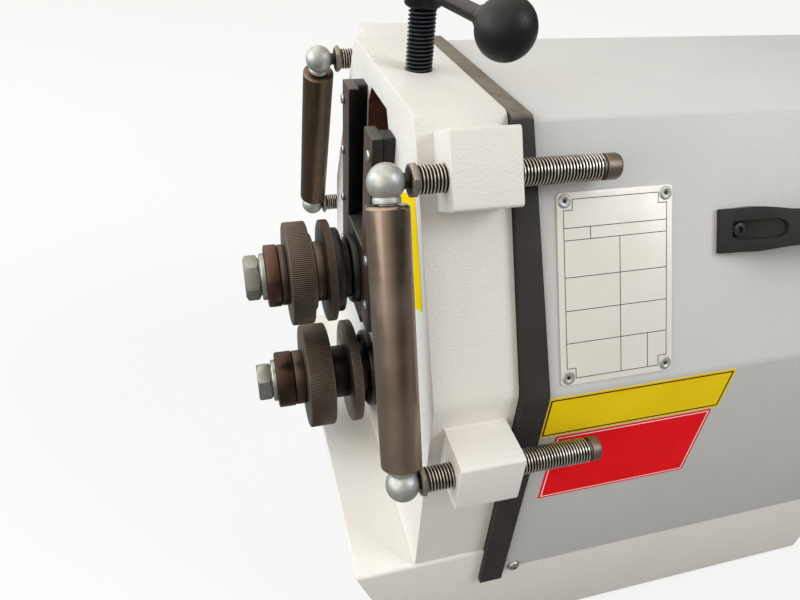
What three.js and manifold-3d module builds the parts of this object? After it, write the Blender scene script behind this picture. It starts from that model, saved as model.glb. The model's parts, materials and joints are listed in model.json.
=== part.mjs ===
// Ring roller: a powered bench machine that bends strip and bar into rings.
// A lower roll is driven through a gear pair, an upper roll is pressed down by a screw,
// and two leaning guide rollers are set in and out by threaded rods.
import * as THREE from 'three';
import { mergeVertices } from 'three/addons/utils/BufferGeometryUtils.js';
import Module from 'manifold-3d';

const wasm = await Module();
wasm.setup();

// Millimetres: X to the near side, Y to the back, Z up, origin on the floor under the middle.
const bodyLength = 420; // front face of the head to the back edge of the cover
const machineHeight = 448; // floor to the flat top of the head
const headHeight = 323; // shelf of the base to the flat top of the head
const lowerRollDrop = 262.4; // flat top of the head to the axis of the driven roll
const centreDistance = 109.4; // lower roll to upper roll, as photographed
const front = -bodyLength / 2;
const back = bodyLength / 2;
const lowerAxis = machineHeight - lowerRollDrop;
const upperAxis = lowerAxis + centreDistance;

// Clearances
const seat = 0.3; // between pieces that sit on each other
const running = 0.3; // around a turning or sliding piece
const overrun = 4; // how far a cutter passes the face that it cuts
const mergeTolerance = 0.0003;

// Roundness
const largeSteps = 32;
const smallSteps = 16;
const cornerSteps = 3;

const base = {
  height: machineHeight - headHeight,
  halfWidth: 161.5,
  lip: 46.5, // how far the shelf stands in front of the head
  undercut: 45.5, // how far its front face falls back to the floor
  wall: 8,
  plate: 3,
  plateHole: 6.5,
  plateHoleInset: 30,
};

const head = {
  depth: 56,
  topHalf: 82,
  halfWidth: 161,
  creaseDrop: 152,
  corner: 5,
  web: 18, // metal above the slide window
  windowTopHalf: 22,
  windowHalf: 31,
  windowChamfer: 14,
  windowDrop: 216,
};

const upperBoss = { start: 10, size: 44, reach: 27.5, front: 10.5, depth: 41, corner: 3 };
const lowerBoss = { drop: 171, height: 38, reach: 33.5, front: 8.5, depth: 41.5, corner: 3 };

const guide = {
  outerHalf: 48.4,
  spacerHalf: 32,
  plateHalf: 25,
  spacer: 7.5,
  plate: 7.8,
  drop: { near: 27, far: 20 }, // they stand a little apart in height
  length: 155,
  corner: 2,
  keeper: 6,
  keeperOuter: 46,
};

const slide = { above: 34, below: 37, retainer: 6, retainerDepth: 44 };
const bush = { wall: 5 };

const shaft = { radius: 15, shoulder: 23, endRecess: 1 };
const rollBolt = { across: 30, head: 12, shank: 10, length: 36 };
const washer = { radius: 18, thick: 3.4 };
const locknut = { radius: 22, thick: 9, tail: 3 };

// Roll pieces from the shaft's shoulder to the front, each with its steps of radius and length
const upperShoulder = 5.7;
const upperRolls = [
  { name: 'upper_drum', steps: [{ radius: 33, length: 6.9 }], bevel: 0.8, finish: 'burnished' },
  { name: 'upper_thin_disc', steps: [{ radius: 39.8, length: 6.2 }, { radius: 23.4, length: 7.2 }],
    bevel: 0.6, finish: 'burnished' },
  { name: 'upper_wide_wheel', steps: [{ radius: 30, length: 3.3 }, { radius: 40, length: 17.1 }],
    bevel: 1, finish: 'burnished' },
  { name: 'upper_spacer_ring', steps: [{ radius: 23.5, length: 5.2 }], bevel: 0.6, finish: 'dark' },
  { name: 'upper_collar', steps: [{ radius: 24, length: 10.1 }], bevel: 1.2, finish: 'bronze' },
];
const lowerShoulder = 7.4;
const lowerRolls = [
  { name: 'lower_disc', steps: [{ radius: 45, length: 8.2 }], bevel: 0.8, finish: 'burnished' },
  { name: 'lower_sleeve', steps: [{ radius: 23, length: 14.4 }], bevel: 0.6, finish: 'dark' },
  { name: 'lower_wide_wheel', steps: [{ radius: 45, length: 22 }], bevel: 1, finish: 'burnished' },
  { name: 'lower_spacer_ring', steps: [{ radius: 23.5, length: 8.7 }], bevel: 0.6, finish: 'dark' },
  { name: 'lower_collar', steps: [{ radius: 24, length: 14.6 }], bevel: 1.2, finish: 'bronze' },
];

const upperCap = { radius: 27.5, thick: 5.4 };
const lowerCap = { radius: 34, thick: 6 };
const bearing = { outer: 31, width: 16, inset: 2 };

const screw = {
  back: 26.8, // from the front face of the head
  radius: 9, // over the thread, M18 with a pitch of 2.5
  footRadius: 14,
  foot: 6,
  hubRadius: 12,
  hubGap: 38, // head's top to the hub
  hub: 22,
  armRise: 11, // hub's lower face to the arm's axis
};
const nut = { radius: 15, flangeRadius: 20, flange: 10, cover: 4 }; // cover: metal left above it
const lever = { radius: 4.6, collarRadius: 6.5, collar: 12, stub: 4, stubLength: 9, turn: 7.1 };
const knob = { radius: 16, reach: 100.8 };

const upperRod = { along: 35.4, out: 15.3, hexFront: 9.8, hex: 3.9, threadEnd: 109, end: 119 };
const lowerRod = { out: 20.1, drop: 190.4, hexFront: 12.2, hex: 3.2, threadEnd: 101.4, end: 109.5 };
const rod = { radius: 8, across: 18, endRadius: 6.6, neck: 4, neckDepth: 4 };
const ball = { radius: 10.5, front: 22.5 };
const roller = { radius: 12.5, gap: 12, pin: 5, pinDepth: 14, bevel: 1 };

const cover = { topHalf: 86, topDrop: 4, creaseDrop: 154, sheet: 1.5, lap: 29 };
const strip = { width: 18.7, proud: 3.2, inner: 3.5, nose: 4, hang: 9 };
const panel = { sheet: 1.5, inset: 2, slots: 7, slotLength: 90, slotHeight: 5, slotPitch: 12, slotDrop: 148 };
const plate = { width: 80, height: 120, thick: 1, start: 83.8, foot: 3, corner: 3 };
const handle = {
  length: 180,
  width: 29,
  start: 196,
  down: 76, // top corner of the cover to the handle's middle, along the slope
  rise: 32,
  grip: 11,
  gapHalf: 46,
};
const gland = { x: -95, above: 35, radius: 10, flangeRadius: 15, flange: 5, tail: 16, bore: 5, inside: 8 };

const gear = { module: 3, wheelTeeth: 34, pinionTeeth: 14, pressure: 20, width: 25, gap: 6, backlash: 0.2 };
const gearLean = 30; // degrees from level to the line of centres
const dedendumShare = 1.25; // depth below the pitch circle, in modules
const pinionShaft = { radius: 10, depth: 30 };
const gearbox = { gap: 19, halfWidth: 54, length: 90, above: 55, corner: 6, boss: 24, bossLength: 4 };
const motor = { radius: 62, length: 178, bell: 14, bellRadius: 54 };

const baseTop = base.height;
const creaseHeight = machineHeight - head.creaseDrop;
const slideTop = upperAxis + slide.above;

/** Merges shared corners, drops empty triangles and turns the faces outwards. */
function closed(source) {
  const bare = source.clone();
  bare.deleteAttribute('normal');
  bare.deleteAttribute('uv');
  const merged = mergeVertices(bare, mergeTolerance);
  const places = merged.getAttribute('position');
  const corners = [0, 1, 2].map(() => new THREE.Vector3());
  const kept = [];
  let volume = 0;
  for (let i = 0; i < merged.index.count; i += 3) {
    const ids = [0, 1, 2].map((k) => merged.index.getX(i + k));
    if (ids[0] === ids[1] || ids[1] === ids[2] || ids[2] === ids[0]) continue;
    ids.forEach((id, k) => corners[k].fromBufferAttribute(places, id));
    volume += corners[0].dot(corners[1].clone().cross(corners[2]));
    kept.push(ids);
  }
  if (volume < 0) kept.forEach((ids) => ids.reverse());
  const result = new THREE.BufferGeometry();
  result.setAttribute('position', places);
  result.setIndex(kept.flat());
  return result;
}

/** A closed geometry as a solid that can be joined and cut. */
function solid(source) {
  const geometry = closed(source);
  const vertProperties = new Float32Array(geometry.getAttribute('position').array);
  const triVerts = new Uint32Array(geometry.index.array);
  return new wasm.Manifold(new wasm.Mesh({ numProp: 3, vertProperties, triVerts }));
}

/** A joined or cut solid as a geometry again. */
function geometryOf(body) {
  const { vertProperties, triVerts } = body.getMesh();
  const result = new THREE.BufferGeometry();
  result.setAttribute('position', new THREE.BufferAttribute(vertProperties, 3));
  result.setIndex(new THREE.BufferAttribute(triVerts, 1));
  return result;
}

function cut(body, ...cutters) {
  return cutters.reduce((rest, cutter) => rest.subtract(solid(cutter)), body);
}

function joined(body, ...others) {
  return others.reduce((all, other) => all.add(solid(other)), body);
}

/** A closed shape through the points, each corner rounded by the radius. */
function outline(points, radius = 0) {
  const shape = new THREE.Shape();
  points.forEach(([x, y], i) => {
    const here = new THREE.Vector2(x, y);
    const before = new THREE.Vector2(...points.at(i - 1));
    const after = new THREE.Vector2(...points[(i + 1) % points.length]);
    const reach = Math.min(radius, here.distanceTo(before) / 2, here.distanceTo(after) / 2);
    const start = here.clone().add(before.sub(here).setLength(reach));
    const end = here.clone().add(after.sub(here).setLength(reach));
    if (i === 0) shape.moveTo(start.x, start.y);
    else shape.lineTo(start.x, start.y);
    if (radius > 0) shape.quadraticCurveTo(here.x, here.y, end.x, end.y);
  });
  shape.closePath();
  return shape;
}

function rectangle(left, right, bottom, top, radius = 0) {
  return outline([[left, bottom], [right, bottom], [right, top], [left, top]], radius);
}

/** A round hole in a shape. */
function circle(x, y, radius, steps) {
  const corners = Array.from({ length: steps }, (_, k) => (2 * Math.PI * k) / steps);
  return new THREE.Path(corners.map((angle) => (
    new THREE.Vector2(x + radius * Math.cos(angle), y + radius * Math.sin(angle)))));
}

const axisX = new THREE.Vector3(1, 0, 0);
const axisY = new THREE.Vector3(0, 1, 0);
const axisZ = new THREE.Vector3(0, 0, 1);

/** A shape drawn on the plane of two axes and carried along their cross product. */
function prism(shape, across, up, from, to) {
  const along = across.clone().cross(up);
  const geometry = new THREE.ExtrudeGeometry(shape, {
    depth: to - from,
    bevelEnabled: false,
    curveSegments: cornerSteps,
  });
  geometry.applyMatrix4(new THREE.Matrix4().makeBasis(across, up, along));
  return geometry.translate(...along.multiplyScalar(from).toArray());
}

/** A shape drawn in X and Z, filling Y between two values. */
function prismY(shape, from, to) {
  return prism(shape, axisX, axisZ, -to, -from);
}

function prismX(shape, from, to) {
  return prism(shape, axisY, axisZ, from, to);
}

function prismZ(shape, from, to) {
  return prism(shape, axisX, axisY, from, to);
}

/** A profile of radius and Y, turned round the Y axis. */
function turned(profile, steps) {
  return new THREE.LatheGeometry(profile.map(([r, y]) => new THREE.Vector2(r, y)), steps);
}

function rodY(radius, from, to, steps = smallSteps, bevel = 0) {
  return turned([[0, from], [radius - bevel, from], [radius, from + bevel],
    [radius, to - bevel], [radius - bevel, to], [0, to]].filter(([r, y], i, all) => (
    i === 0 || r !== all[i - 1][0] || y !== all[i - 1][1])), steps);
}

function ringY(inner, outer, from, to, steps = largeSteps, bevel = 0) {
  const profile = [[inner, from], [outer - bevel, from], [outer, from + bevel],
    [outer, to - bevel], [outer - bevel, to], [inner, to], [inner, from]];
  return turned(profile.filter(([r, y], i) => (
    i === 0 || r !== profile[i - 1][0] || y !== profile[i - 1][1])), steps);
}

function hexY(across, from, to) {
  const radius = across / Math.sqrt(3);
  return new THREE.CylinderGeometry(radius, radius, to - from, 6).translate(0, (from + to) / 2, 0);
}

/** Turns a geometry made round Y so that it stands upright. */
function upright(geometry) {
  return geometry.rotateX(Math.PI / 2);
}

const finishes = {
  cream: [0xddd8cc, 0.6, 0],
  grey: [0xb9b8b4, 0.6, 0],
  black: [0x201e1d, 0.5, 0],
  rubber: [0x2c2928, 0.85, 0],
  dark: [0x2b2725, 0.45, 0.7],
  burnished: [0x5f5046, 0.38, 0.85],
  bronze: [0x8a5a38, 0.4, 0.9],
  steel: [0x9b9a97, 0.35, 0.9],
  zinc: [0xa9a8a3, 0.4, 0.9],
  motorGrey: [0x5c6166, 0.6, 0.2],
};
const materials = Object.fromEntries(Object.entries(finishes).map(([name, [color, roughness, metalness]]) => [
  name, new THREE.MeshStandardMaterial({ color, roughness, metalness }),
]));

const machine = new THREE.Group();

function place(name, geometry, finish, x = 0, y = 0, z = 0) {
  const mesh = new THREE.Mesh(closed(geometry), materials[finish]);
  mesh.name = name;
  mesh.position.set(x, y, z);
  machine.add(mesh);
  return mesh;
}

const sides = [{ name: 'near', sign: 1 }, { name: 'far', sign: -1 }];

/** Point on a head slope: distance down it from the top corner and out from it. */
function onHeadSlope(down, out) {
  const slope = new THREE.Vector2(head.halfWidth - head.topHalf, -head.creaseDrop).normalize();
  const normal = new THREE.Vector2(-slope.y, slope.x);
  return new THREE.Vector2(head.topHalf, machineHeight)
    .addScaledVector(slope, down).addScaledVector(normal, out);
}

// Base: a casting open below with a bottom plate let in
function makeBase() {
  const lipTop = front - base.lip;
  const lipFoot = lipTop + base.undercut;
  const faceAt = (z) => lipFoot + (lipTop - lipFoot) * (z / base.height);
  const body = outline([[lipFoot, 0], [back, 0], [back, baseTop], [lipTop, baseTop]]);
  const ceiling = baseTop - base.wall;
  const hollow = outline([
    [faceAt(-overrun) + base.wall, -overrun], [back - base.wall, -overrun],
    [back - base.wall, ceiling], [faceAt(ceiling) + base.wall, ceiling]]);
  const innerHalf = base.halfWidth - base.wall;
  const casting = cut(solid(prismX(body, -base.halfWidth, base.halfWidth)),
    prismX(hollow, -innerHalf, innerHalf));
  place('base_casting', geometryOf(casting), 'cream');

  const plateHalf = innerHalf - seat;
  const plateFront = lipFoot + base.wall + seat;
  const plateBack = back - base.wall - seat;
  const sheet = rectangle(-plateHalf, plateHalf, plateFront, plateBack);
  for (const x of [-1, 1]) {
    for (const y of [plateFront + base.plateHoleInset, plateBack - base.plateHoleInset]) {
      sheet.holes.push(circle(x * (plateHalf - base.plateHoleInset), y, base.plateHole, smallSteps));
    }
  }
  place('base_plate', prismZ(sheet, 0, base.plate), 'zinc');
}

// Places of the adjusting rods on the near side, from the middle of the machine
const upperRodAt = onHeadSlope(upperRod.along, upperRod.out);
const lowerRodAt = new THREE.Vector2(head.halfWidth + lowerRod.out, machineHeight - lowerRod.drop);
const nutBore = nut.radius + seat;
const bearingBore = bearing.outer + seat;

// Head: the cast front frame with its window, bearing bore and four threaded bosses
function makeHead() {
  const foot = baseTop + seat;
  const half = [[head.halfWidth, foot], [head.halfWidth, creaseHeight], [head.topHalf, machineHeight]];
  const mirrored = half.map(([x, z]) => [-x, z]).reverse();
  let body = solid(prismY(outline([...half, ...mirrored], head.corner), front, front + head.depth));
  for (const { sign } of sides) {
    const bossEnd = upperBoss.start + upperBoss.size;
    const corners = [
      onHeadSlope(upperBoss.start, -overrun), onHeadSlope(upperBoss.start, upperBoss.reach),
      onHeadSlope(bossEnd, upperBoss.reach), onHeadSlope(bossEnd, -overrun)];
    const upper = outline(corners.map(({ x, y }) => [sign * x, y]), upperBoss.corner);
    const upperFront = front + upperBoss.front;
    const inner = head.halfWidth - overrun;
    const outer = head.halfWidth + lowerBoss.reach;
    const bossTop = machineHeight - lowerBoss.drop;
    const bossFoot = bossTop - lowerBoss.height;
    const lower = outline([[sign * inner, bossFoot], [sign * outer, bossFoot],
      [sign * outer, bossTop], [sign * inner, bossTop]], lowerBoss.corner);
    const lowerFront = front + lowerBoss.front;
    body = joined(body, prismY(upper, upperFront, upperFront + upperBoss.depth),
      prismY(lower, lowerFront, lowerFront + lowerBoss.depth));
    for (const at of [upperRodAt, lowerRodAt]) {
      body = cut(body, rodY(rod.radius + running, front, front + head.depth + overrun)
        .translate(sign * at.x, 0, at.y));
    }
  }
  const windowTop = machineHeight - head.web;
  const windowSide = windowTop - head.windowChamfer;
  const windowFoot = machineHeight - head.windowDrop;
  const opening = outline([[-head.windowHalf, windowFoot], [head.windowHalf, windowFoot],
    [head.windowHalf, windowSide], [head.windowTopHalf, windowTop],
    [-head.windowTopHalf, windowTop], [-head.windowHalf, windowSide]]);
  body = cut(body,
    prismY(opening, front - overrun, front + head.depth + overrun),
    upright(rodY(nutBore, windowTop - overrun, machineHeight - nut.cover))
      .translate(0, front + screw.back, 0),
    upright(rodY(screw.radius + running, windowTop - overrun, machineHeight + overrun))
      .translate(0, front + screw.back, 0),
    rodY(bearingBore, front - overrun, front + head.depth + overrun, largeSteps).translate(0, 0, lowerAxis));
  place('head_casting', geometryOf(body), 'cream');
}

// Guides: a spacer and a retaining plate on each side of the window, and a keeper behind it
function makeGuides() {
  for (const { name, sign } of sides) {
    const top = machineHeight - guide.drop[name];
    const bottom = top - guide.length;
    const bar = (inner) => outline([[sign * inner, bottom], [sign * guide.outerHalf, bottom],
      [sign * guide.outerHalf, top], [sign * inner, top]], guide.corner);
    const spacerBack = front - seat;
    const spacerFront = front - guide.spacer;
    const plateBack = spacerFront - seat;
    place(`${name}_guide_spacer`, prismY(bar(guide.spacerHalf), spacerFront, spacerBack), 'dark');
    const plateFront = plateBack - guide.plate + seat;
    place(`${name}_guide_plate`, prismY(bar(guide.plateHalf), plateFront, plateBack), 'burnished');
    const keeperFront = front + head.depth + seat;
    const keeper = outline([[sign * guide.plateHalf, bottom], [sign * guide.keeperOuter, bottom],
      [sign * guide.keeperOuter, top], [sign * guide.plateHalf, top]], guide.corner);
    place(`${name}_rear_keeper`, prismY(keeper, keeperFront, keeperFront + guide.keeper), 'steel');
  }
}

const slideFront = front - guide.spacer - guide.plate;
const slideBack = front + head.depth;

// Slide: the block that carries the upper shaft, with its bush, cap and screw retainer
function makeSlide() {
  const bodyHalf = head.windowHalf - running;
  const noseHalf = guide.plateHalf - running;
  const shoulder = front - guide.spacer + running;
  const plan = outline([[-noseHalf, slideFront], [noseHalf, slideFront], [noseHalf, shoulder],
    [bodyHalf, shoulder], [bodyHalf, slideBack], [-bodyHalf, slideBack], [-bodyHalf, shoulder],
    [-noseHalf, shoulder]]);
  const bushOuter = shaft.radius + running + bush.wall;
  const screwY = front + screw.back;
  const pocketFloor = slideTop - screw.foot - 2 * running;
  const block = cut(solid(prismZ(plan, upperAxis - slide.below, slideTop)),
    rodY(bushOuter + seat, slideFront - overrun, slideBack + overrun, largeSteps).translate(0, 0, upperAxis),
    upright(rodY(screw.footRadius + running, pocketFloor, slideTop + overrun)).translate(0, screwY, 0));
  place('slide_block', geometryOf(block), 'dark');
  place('upper_bush', ringY(shaft.radius + running, bushOuter, slideFront + seat, slideBack),
    'bronze', 0, 0, upperAxis);
  const capBack = slideFront - seat;
  place('upper_cap', ringY(shaft.radius + running, upperCap.radius, capBack - upperCap.thick, capBack),
    'black', 0, 0, upperAxis);

  const halfDepth = slide.retainerDepth / 2;
  const retainer = rectangle(-bodyHalf, bodyHalf, screwY - halfDepth, screwY + halfDepth);
  retainer.holes.push(circle(0, screwY, screw.radius + running, smallSteps));
  place('screw_retainer', prismZ(retainer, slideTop + seat, slideTop + slide.retainer), 'steel');
}

// Press screw: the screw with its hub, the nut in the head's web, the arm and two knobs
function makePress() {
  const screwY = front + screw.back;
  const footBottom = slideTop - screw.foot - running;
  const footTop = footBottom + screw.foot;
  const hubBottom = machineHeight + screw.hubGap;
  const hubTop = hubBottom + screw.hub;
  const armHeight = hubBottom + screw.armRise;
  const angle = THREE.MathUtils.degToRad(lever.turn);
  const spindle = turned([[0, footBottom], [screw.footRadius, footBottom], [screw.footRadius, footTop],
    [screw.radius, footTop], [screw.radius, hubBottom], [screw.hubRadius, hubBottom],
    [screw.hubRadius, hubTop], [0, hubTop]], smallSteps);
  const armHole = rodY(lever.radius + seat, -screw.hubRadius - overrun, screw.hubRadius + overrun)
    .rotateZ(angle - Math.PI / 2).translate(0, 0, armHeight);
  place('press_screw', geometryOf(cut(solid(upright(spindle)), armHole)), 'dark', 0, screwY, 0);

  const webBottom = machineHeight - head.web;
  const flangeTop = webBottom - seat;
  const nutTop = machineHeight - nut.cover - seat;
  const bore = screw.radius + running;
  const nutProfile = [[bore, flangeTop - nut.flange], [nut.flangeRadius, flangeTop - nut.flange],
    [nut.flangeRadius, flangeTop], [nut.radius, flangeTop], [nut.radius, nutTop],
    [bore, nutTop], [bore, flangeTop - nut.flange]];
  place('screw_nut', upright(turned(nutProfile, smallSteps)), 'bronze', 0, screwY, 0);

  const stubStart = knob.reach - knob.radius + seat;
  const collarStart = stubStart - lever.collar;
  const half = [[lever.radius, collarStart], [lever.collarRadius, collarStart],
    [lever.collarRadius, stubStart - seat], [lever.stub, stubStart - seat],
    [lever.stub, stubStart + lever.stubLength], [0, stubStart + lever.stubLength]];
  const armProfile = [...half.map(([r, y]) => [r, -y]).reverse(), ...half];
  const arm = place('lever_arm', turned(armProfile, smallSteps), 'dark', 0, screwY, armHeight);
  arm.rotation.z = angle - Math.PI / 2;
  for (const { name, sign } of sides) {
    const socketEnd = seat + lever.stubLength - knob.radius + seat;
    const socket = rodY(lever.stub + seat, -knob.radius - overrun, socketEnd);
    const sphere = new THREE.SphereGeometry(knob.radius, smallSteps, smallSteps / 2);
    const grip = place(`${name}_knob`, geometryOf(cut(solid(sphere), socket)), 'black',
      sign * knob.reach * Math.cos(angle), screwY + sign * knob.reach * Math.sin(angle), armHeight);
    grip.rotation.z = angle + (sign > 0 ? -Math.PI / 2 : Math.PI / 2);
  }
}

/** One roll piece, its steps set forwards from a place on the shaft; gives where the next one starts. */
function rollPiece({ name, steps, bevel, finish }, start, axis) {
  const bore = shaft.radius + seat;
  const rim = Math.max(...steps.map(({ radius }) => radius));
  const profile = [[bore, start]];
  let at = start;
  for (const { radius, length } of steps) {
    const end = at - length;
    if (radius === rim) {
      profile.push([radius - bevel, at], [radius, at - bevel], [radius, end + bevel], [radius - bevel, end]);
    } else {
      profile.push([radius, at], [radius, end]);
    }
    at = end;
  }
  profile.push([bore, at], [bore, start]);
  place(name, turned(profile, largeSteps), finish, 0, 0, axis);
  return at - seat;
}

/** A shaft with its rolls, washer and end bolt in front and its locknut behind. */
function makeRollSet(prefix, rolls, shoulderBack, shoulderLength, shaftBack, axis) {
  const shoulderFront = shoulderBack - shoulderLength;
  let at = shoulderFront - seat;
  for (const roll of rolls) at = rollPiece(roll, at, axis);
  const washerBack = at;
  const washerFront = washerBack - washer.thick;
  const headBack = washerFront - seat;
  const shaftFront = washerBack + seat + shaft.endRecess;
  const boltEnd = headBack + rollBolt.length;
  place(`${prefix}_washer`, ringY(rollBolt.shank + seat, washer.radius, washerFront, washerBack),
    'zinc', 0, 0, axis);
  const bolt = joined(solid(hexY(rollBolt.across, headBack - rollBolt.head, headBack)),
    rodY(rollBolt.shank, headBack - overrun, boltEnd));
  place(`${prefix}_bolt`, geometryOf(bolt), 'zinc', 0, 0, axis);
  const core = shaft.radius;
  const hole = rollBolt.shank + seat;
  const holeEnd = boltEnd + seat;
  const bar = turned([[hole, shaftFront], [core, shaftFront], [core, shoulderFront],
    [shaft.shoulder, shoulderFront], [shaft.shoulder, shoulderBack], [core, shoulderBack],
    [core, shaftBack], [0, shaftBack],
    [0, holeEnd], [hole, holeEnd], [hole, shaftFront]], largeSteps);
  place(`${prefix}_shaft`, bar, 'dark', 0, 0, axis);
}

// Rolls: the upper set in the slide and the lower set in the head's bearings
function makeRolls() {
  const nutFront = slideBack + seat;
  place('upper_locknut', ringY(shaft.radius + seat, locknut.radius, nutFront, nutFront + locknut.thick),
    'steel', 0, 0, upperAxis);
  makeRollSet('upper', upperRolls, slideFront - 2 * seat - upperCap.thick, upperShoulder,
    nutFront + locknut.thick + locknut.tail, upperAxis);

  const capBack = front - seat;
  const capFront = capBack - lowerCap.thick;
  place('lower_cap', ringY(shaft.radius + running, lowerCap.radius, capFront, capBack),
    'black', 0, 0, lowerAxis);
  const bearings = [['lower_front_bearing', front + bearing.inset],
    ['lower_rear_bearing', front + head.depth - bearing.inset - bearing.width]];
  for (const [name, at] of bearings) {
    place(name, ringY(shaft.radius + running, bearing.outer, at, at + bearing.width),
      'steel', 0, 0, lowerAxis);
  }
  const gearFront = front + head.depth + gear.gap;
  const gearBack = gearFront + gear.width;
  const lockFront = gearBack + seat;
  place('lower_locknut', ringY(shaft.radius + seat, locknut.radius, lockFront, lockFront + locknut.thick),
    'steel', 0, 0, lowerAxis);
  makeRollSet('lower', lowerRolls, capFront - seat, lowerShoulder,
    lockFront + locknut.thick + locknut.tail, lowerAxis);
}

/** An involute gear's outline round the origin, with one tooth centred at the given angle. */
function gearOutline(teeth, firstTooth) {
  const pitchRadius = (gear.module * teeth) / 2;
  const pressure = THREE.MathUtils.degToRad(gear.pressure);
  const baseRadius = pitchRadius * Math.cos(pressure);
  const tipRadius = pitchRadius + gear.module;
  const rootRadius = pitchRadius - dedendumShare * gear.module;
  const flankFoot = Math.max(baseRadius, rootRadius);
  const involute = (angle) => Math.tan(angle) - angle;
  const halfAtPitch = Math.PI / (2 * teeth) - gear.backlash / (2 * pitchRadius);
  const halfAngle = (radius) => halfAtPitch + involute(pressure)
    - involute(Math.acos(Math.min(1, baseRadius / radius)));
  const flankShares = [0, 0.45, 1];
  const radii = flankShares.map((share) => flankFoot + (tipRadius - flankFoot) * share);
  const points = [];
  for (let k = 0; k < teeth; k += 1) {
    const middle = firstTooth + (2 * Math.PI * k) / teeth;
    const rising = radii.map((radius) => [middle - halfAngle(radius), radius]);
    const falling = radii.map((radius) => [middle + halfAngle(radius), radius]).reverse();
    const foot = halfAngle(flankFoot);
    points.push([middle - foot, rootRadius], ...rising, ...falling, [middle + foot, rootRadius]);
  }
  return points.map(([angle, radius]) => [radius * Math.cos(angle), radius * Math.sin(angle)]);
}

// Drive: gear wheel on the lower shaft, pinion, gearbox and motor under the cover
function makeDrive() {
  const lean = THREE.MathUtils.degToRad(gearLean);
  const centres = (gear.module * (gear.wheelTeeth + gear.pinionTeeth)) / 2;
  const pinionX = centres * Math.cos(lean);
  const pinionZ = lowerAxis + centres * Math.sin(lean);
  const gearFront = front + head.depth + gear.gap;
  const gearBack = gearFront + gear.width;
  const wheel = outline(gearOutline(gear.wheelTeeth, lean));
  wheel.holes.push(circle(0, 0, shaft.radius + seat, largeSteps));
  place('drive_gear', prismY(wheel, gearFront, gearBack), 'steel', 0, 0, lowerAxis);

  const boxFront = gearBack + gearbox.gap;
  const shaftEnd = boxFront + pinionShaft.depth;
  const tooth = Math.PI / gear.pinionTeeth;
  const teeth = prismY(outline(gearOutline(gear.pinionTeeth, lean + Math.PI + tooth)), gearFront, gearBack);
  const pinion = joined(solid(teeth), rodY(pinionShaft.radius, gearBack - overrun, shaftEnd));
  place('drive_pinion', geometryOf(pinion), 'steel', pinionX, 0, pinionZ);

  const boxBottom = baseTop + seat;
  const box = rectangle(pinionX - gearbox.halfWidth, pinionX + gearbox.halfWidth, boxBottom,
    pinionZ + gearbox.above, gearbox.corner);
  const housing = cut(
    joined(solid(prismY(box, boxFront, boxFront + gearbox.length)),
      rodY(gearbox.boss, boxFront - gearbox.bossLength, boxFront + overrun).translate(pinionX, 0, pinionZ)),
    rodY(pinionShaft.radius + running, boxFront - gearbox.bossLength - overrun, shaftEnd + seat)
      .translate(pinionX, 0, pinionZ));
  place('gearbox', geometryOf(housing), 'motorGrey');

  const motorFront = boxFront + gearbox.length + seat;
  const motorBack = motorFront + motor.length;
  const can = turned([[0, motorFront], [motor.radius, motorFront], [motor.radius, motorBack - motor.bell],
    [motor.bellRadius, motorBack], [0, motorBack]], largeSteps);
  place('motor', can, 'motorGrey', pinionX, 0, pinionZ);
}

/** The cover's outer line from the far foot over the top to the near foot. */
function coverLine(foot) {
  const side = base.halfWidth + seat + cover.sheet;
  const near = [[cover.topHalf, machineHeight - cover.topDrop], [side, machineHeight - cover.creaseDrop],
    [side, foot]];
  return [...near.map(([x, z]) => [-x, z]).reverse(), ...near];
}

/** The same line moved outwards by a distance, its corners kept sharp. */
function offsetLine(points, distance) {
  const normals = points.slice(1).map(([x, z], i) => (
    new THREE.Vector2(points[i][1] - z, x - points[i][0]).normalize()));
  return points.map(([x, z], i) => {
    const before = normals[Math.max(i - 1, 0)];
    const after = normals[Math.min(i, normals.length - 1)];
    const miter = before.clone().add(after).normalize();
    const reach = distance / miter.dot(before);
    return [x + miter.x * reach, z + miter.y * reach];
  });
}

function band(line, inner, outer) {
  return outline([...offsetLine(line, outer), ...offsetLine(line, inner).reverse()]);
}

/** Stands a shape drawn in length and height on a slope of the cover. */
function onCoverSlope(geometry, sign, y, down, lift) {
  const [top, crease] = coverLine(0).slice(3);
  const slope = new THREE.Vector3(crease[0] - top[0], 0, crease[1] - top[1]).normalize();
  const normal = new THREE.Vector3(-slope.z, 0, slope.x);
  const at = new THREE.Vector3(top[0], y, top[1]).addScaledVector(slope, down).addScaledVector(normal, lift);
  at.x *= sign;
  normal.x *= sign;
  const across = axisY.clone().cross(normal);
  return geometry.applyMatrix4(new THREE.Matrix4().makeBasis(axisY, normal, across).setPosition(at));
}

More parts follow.
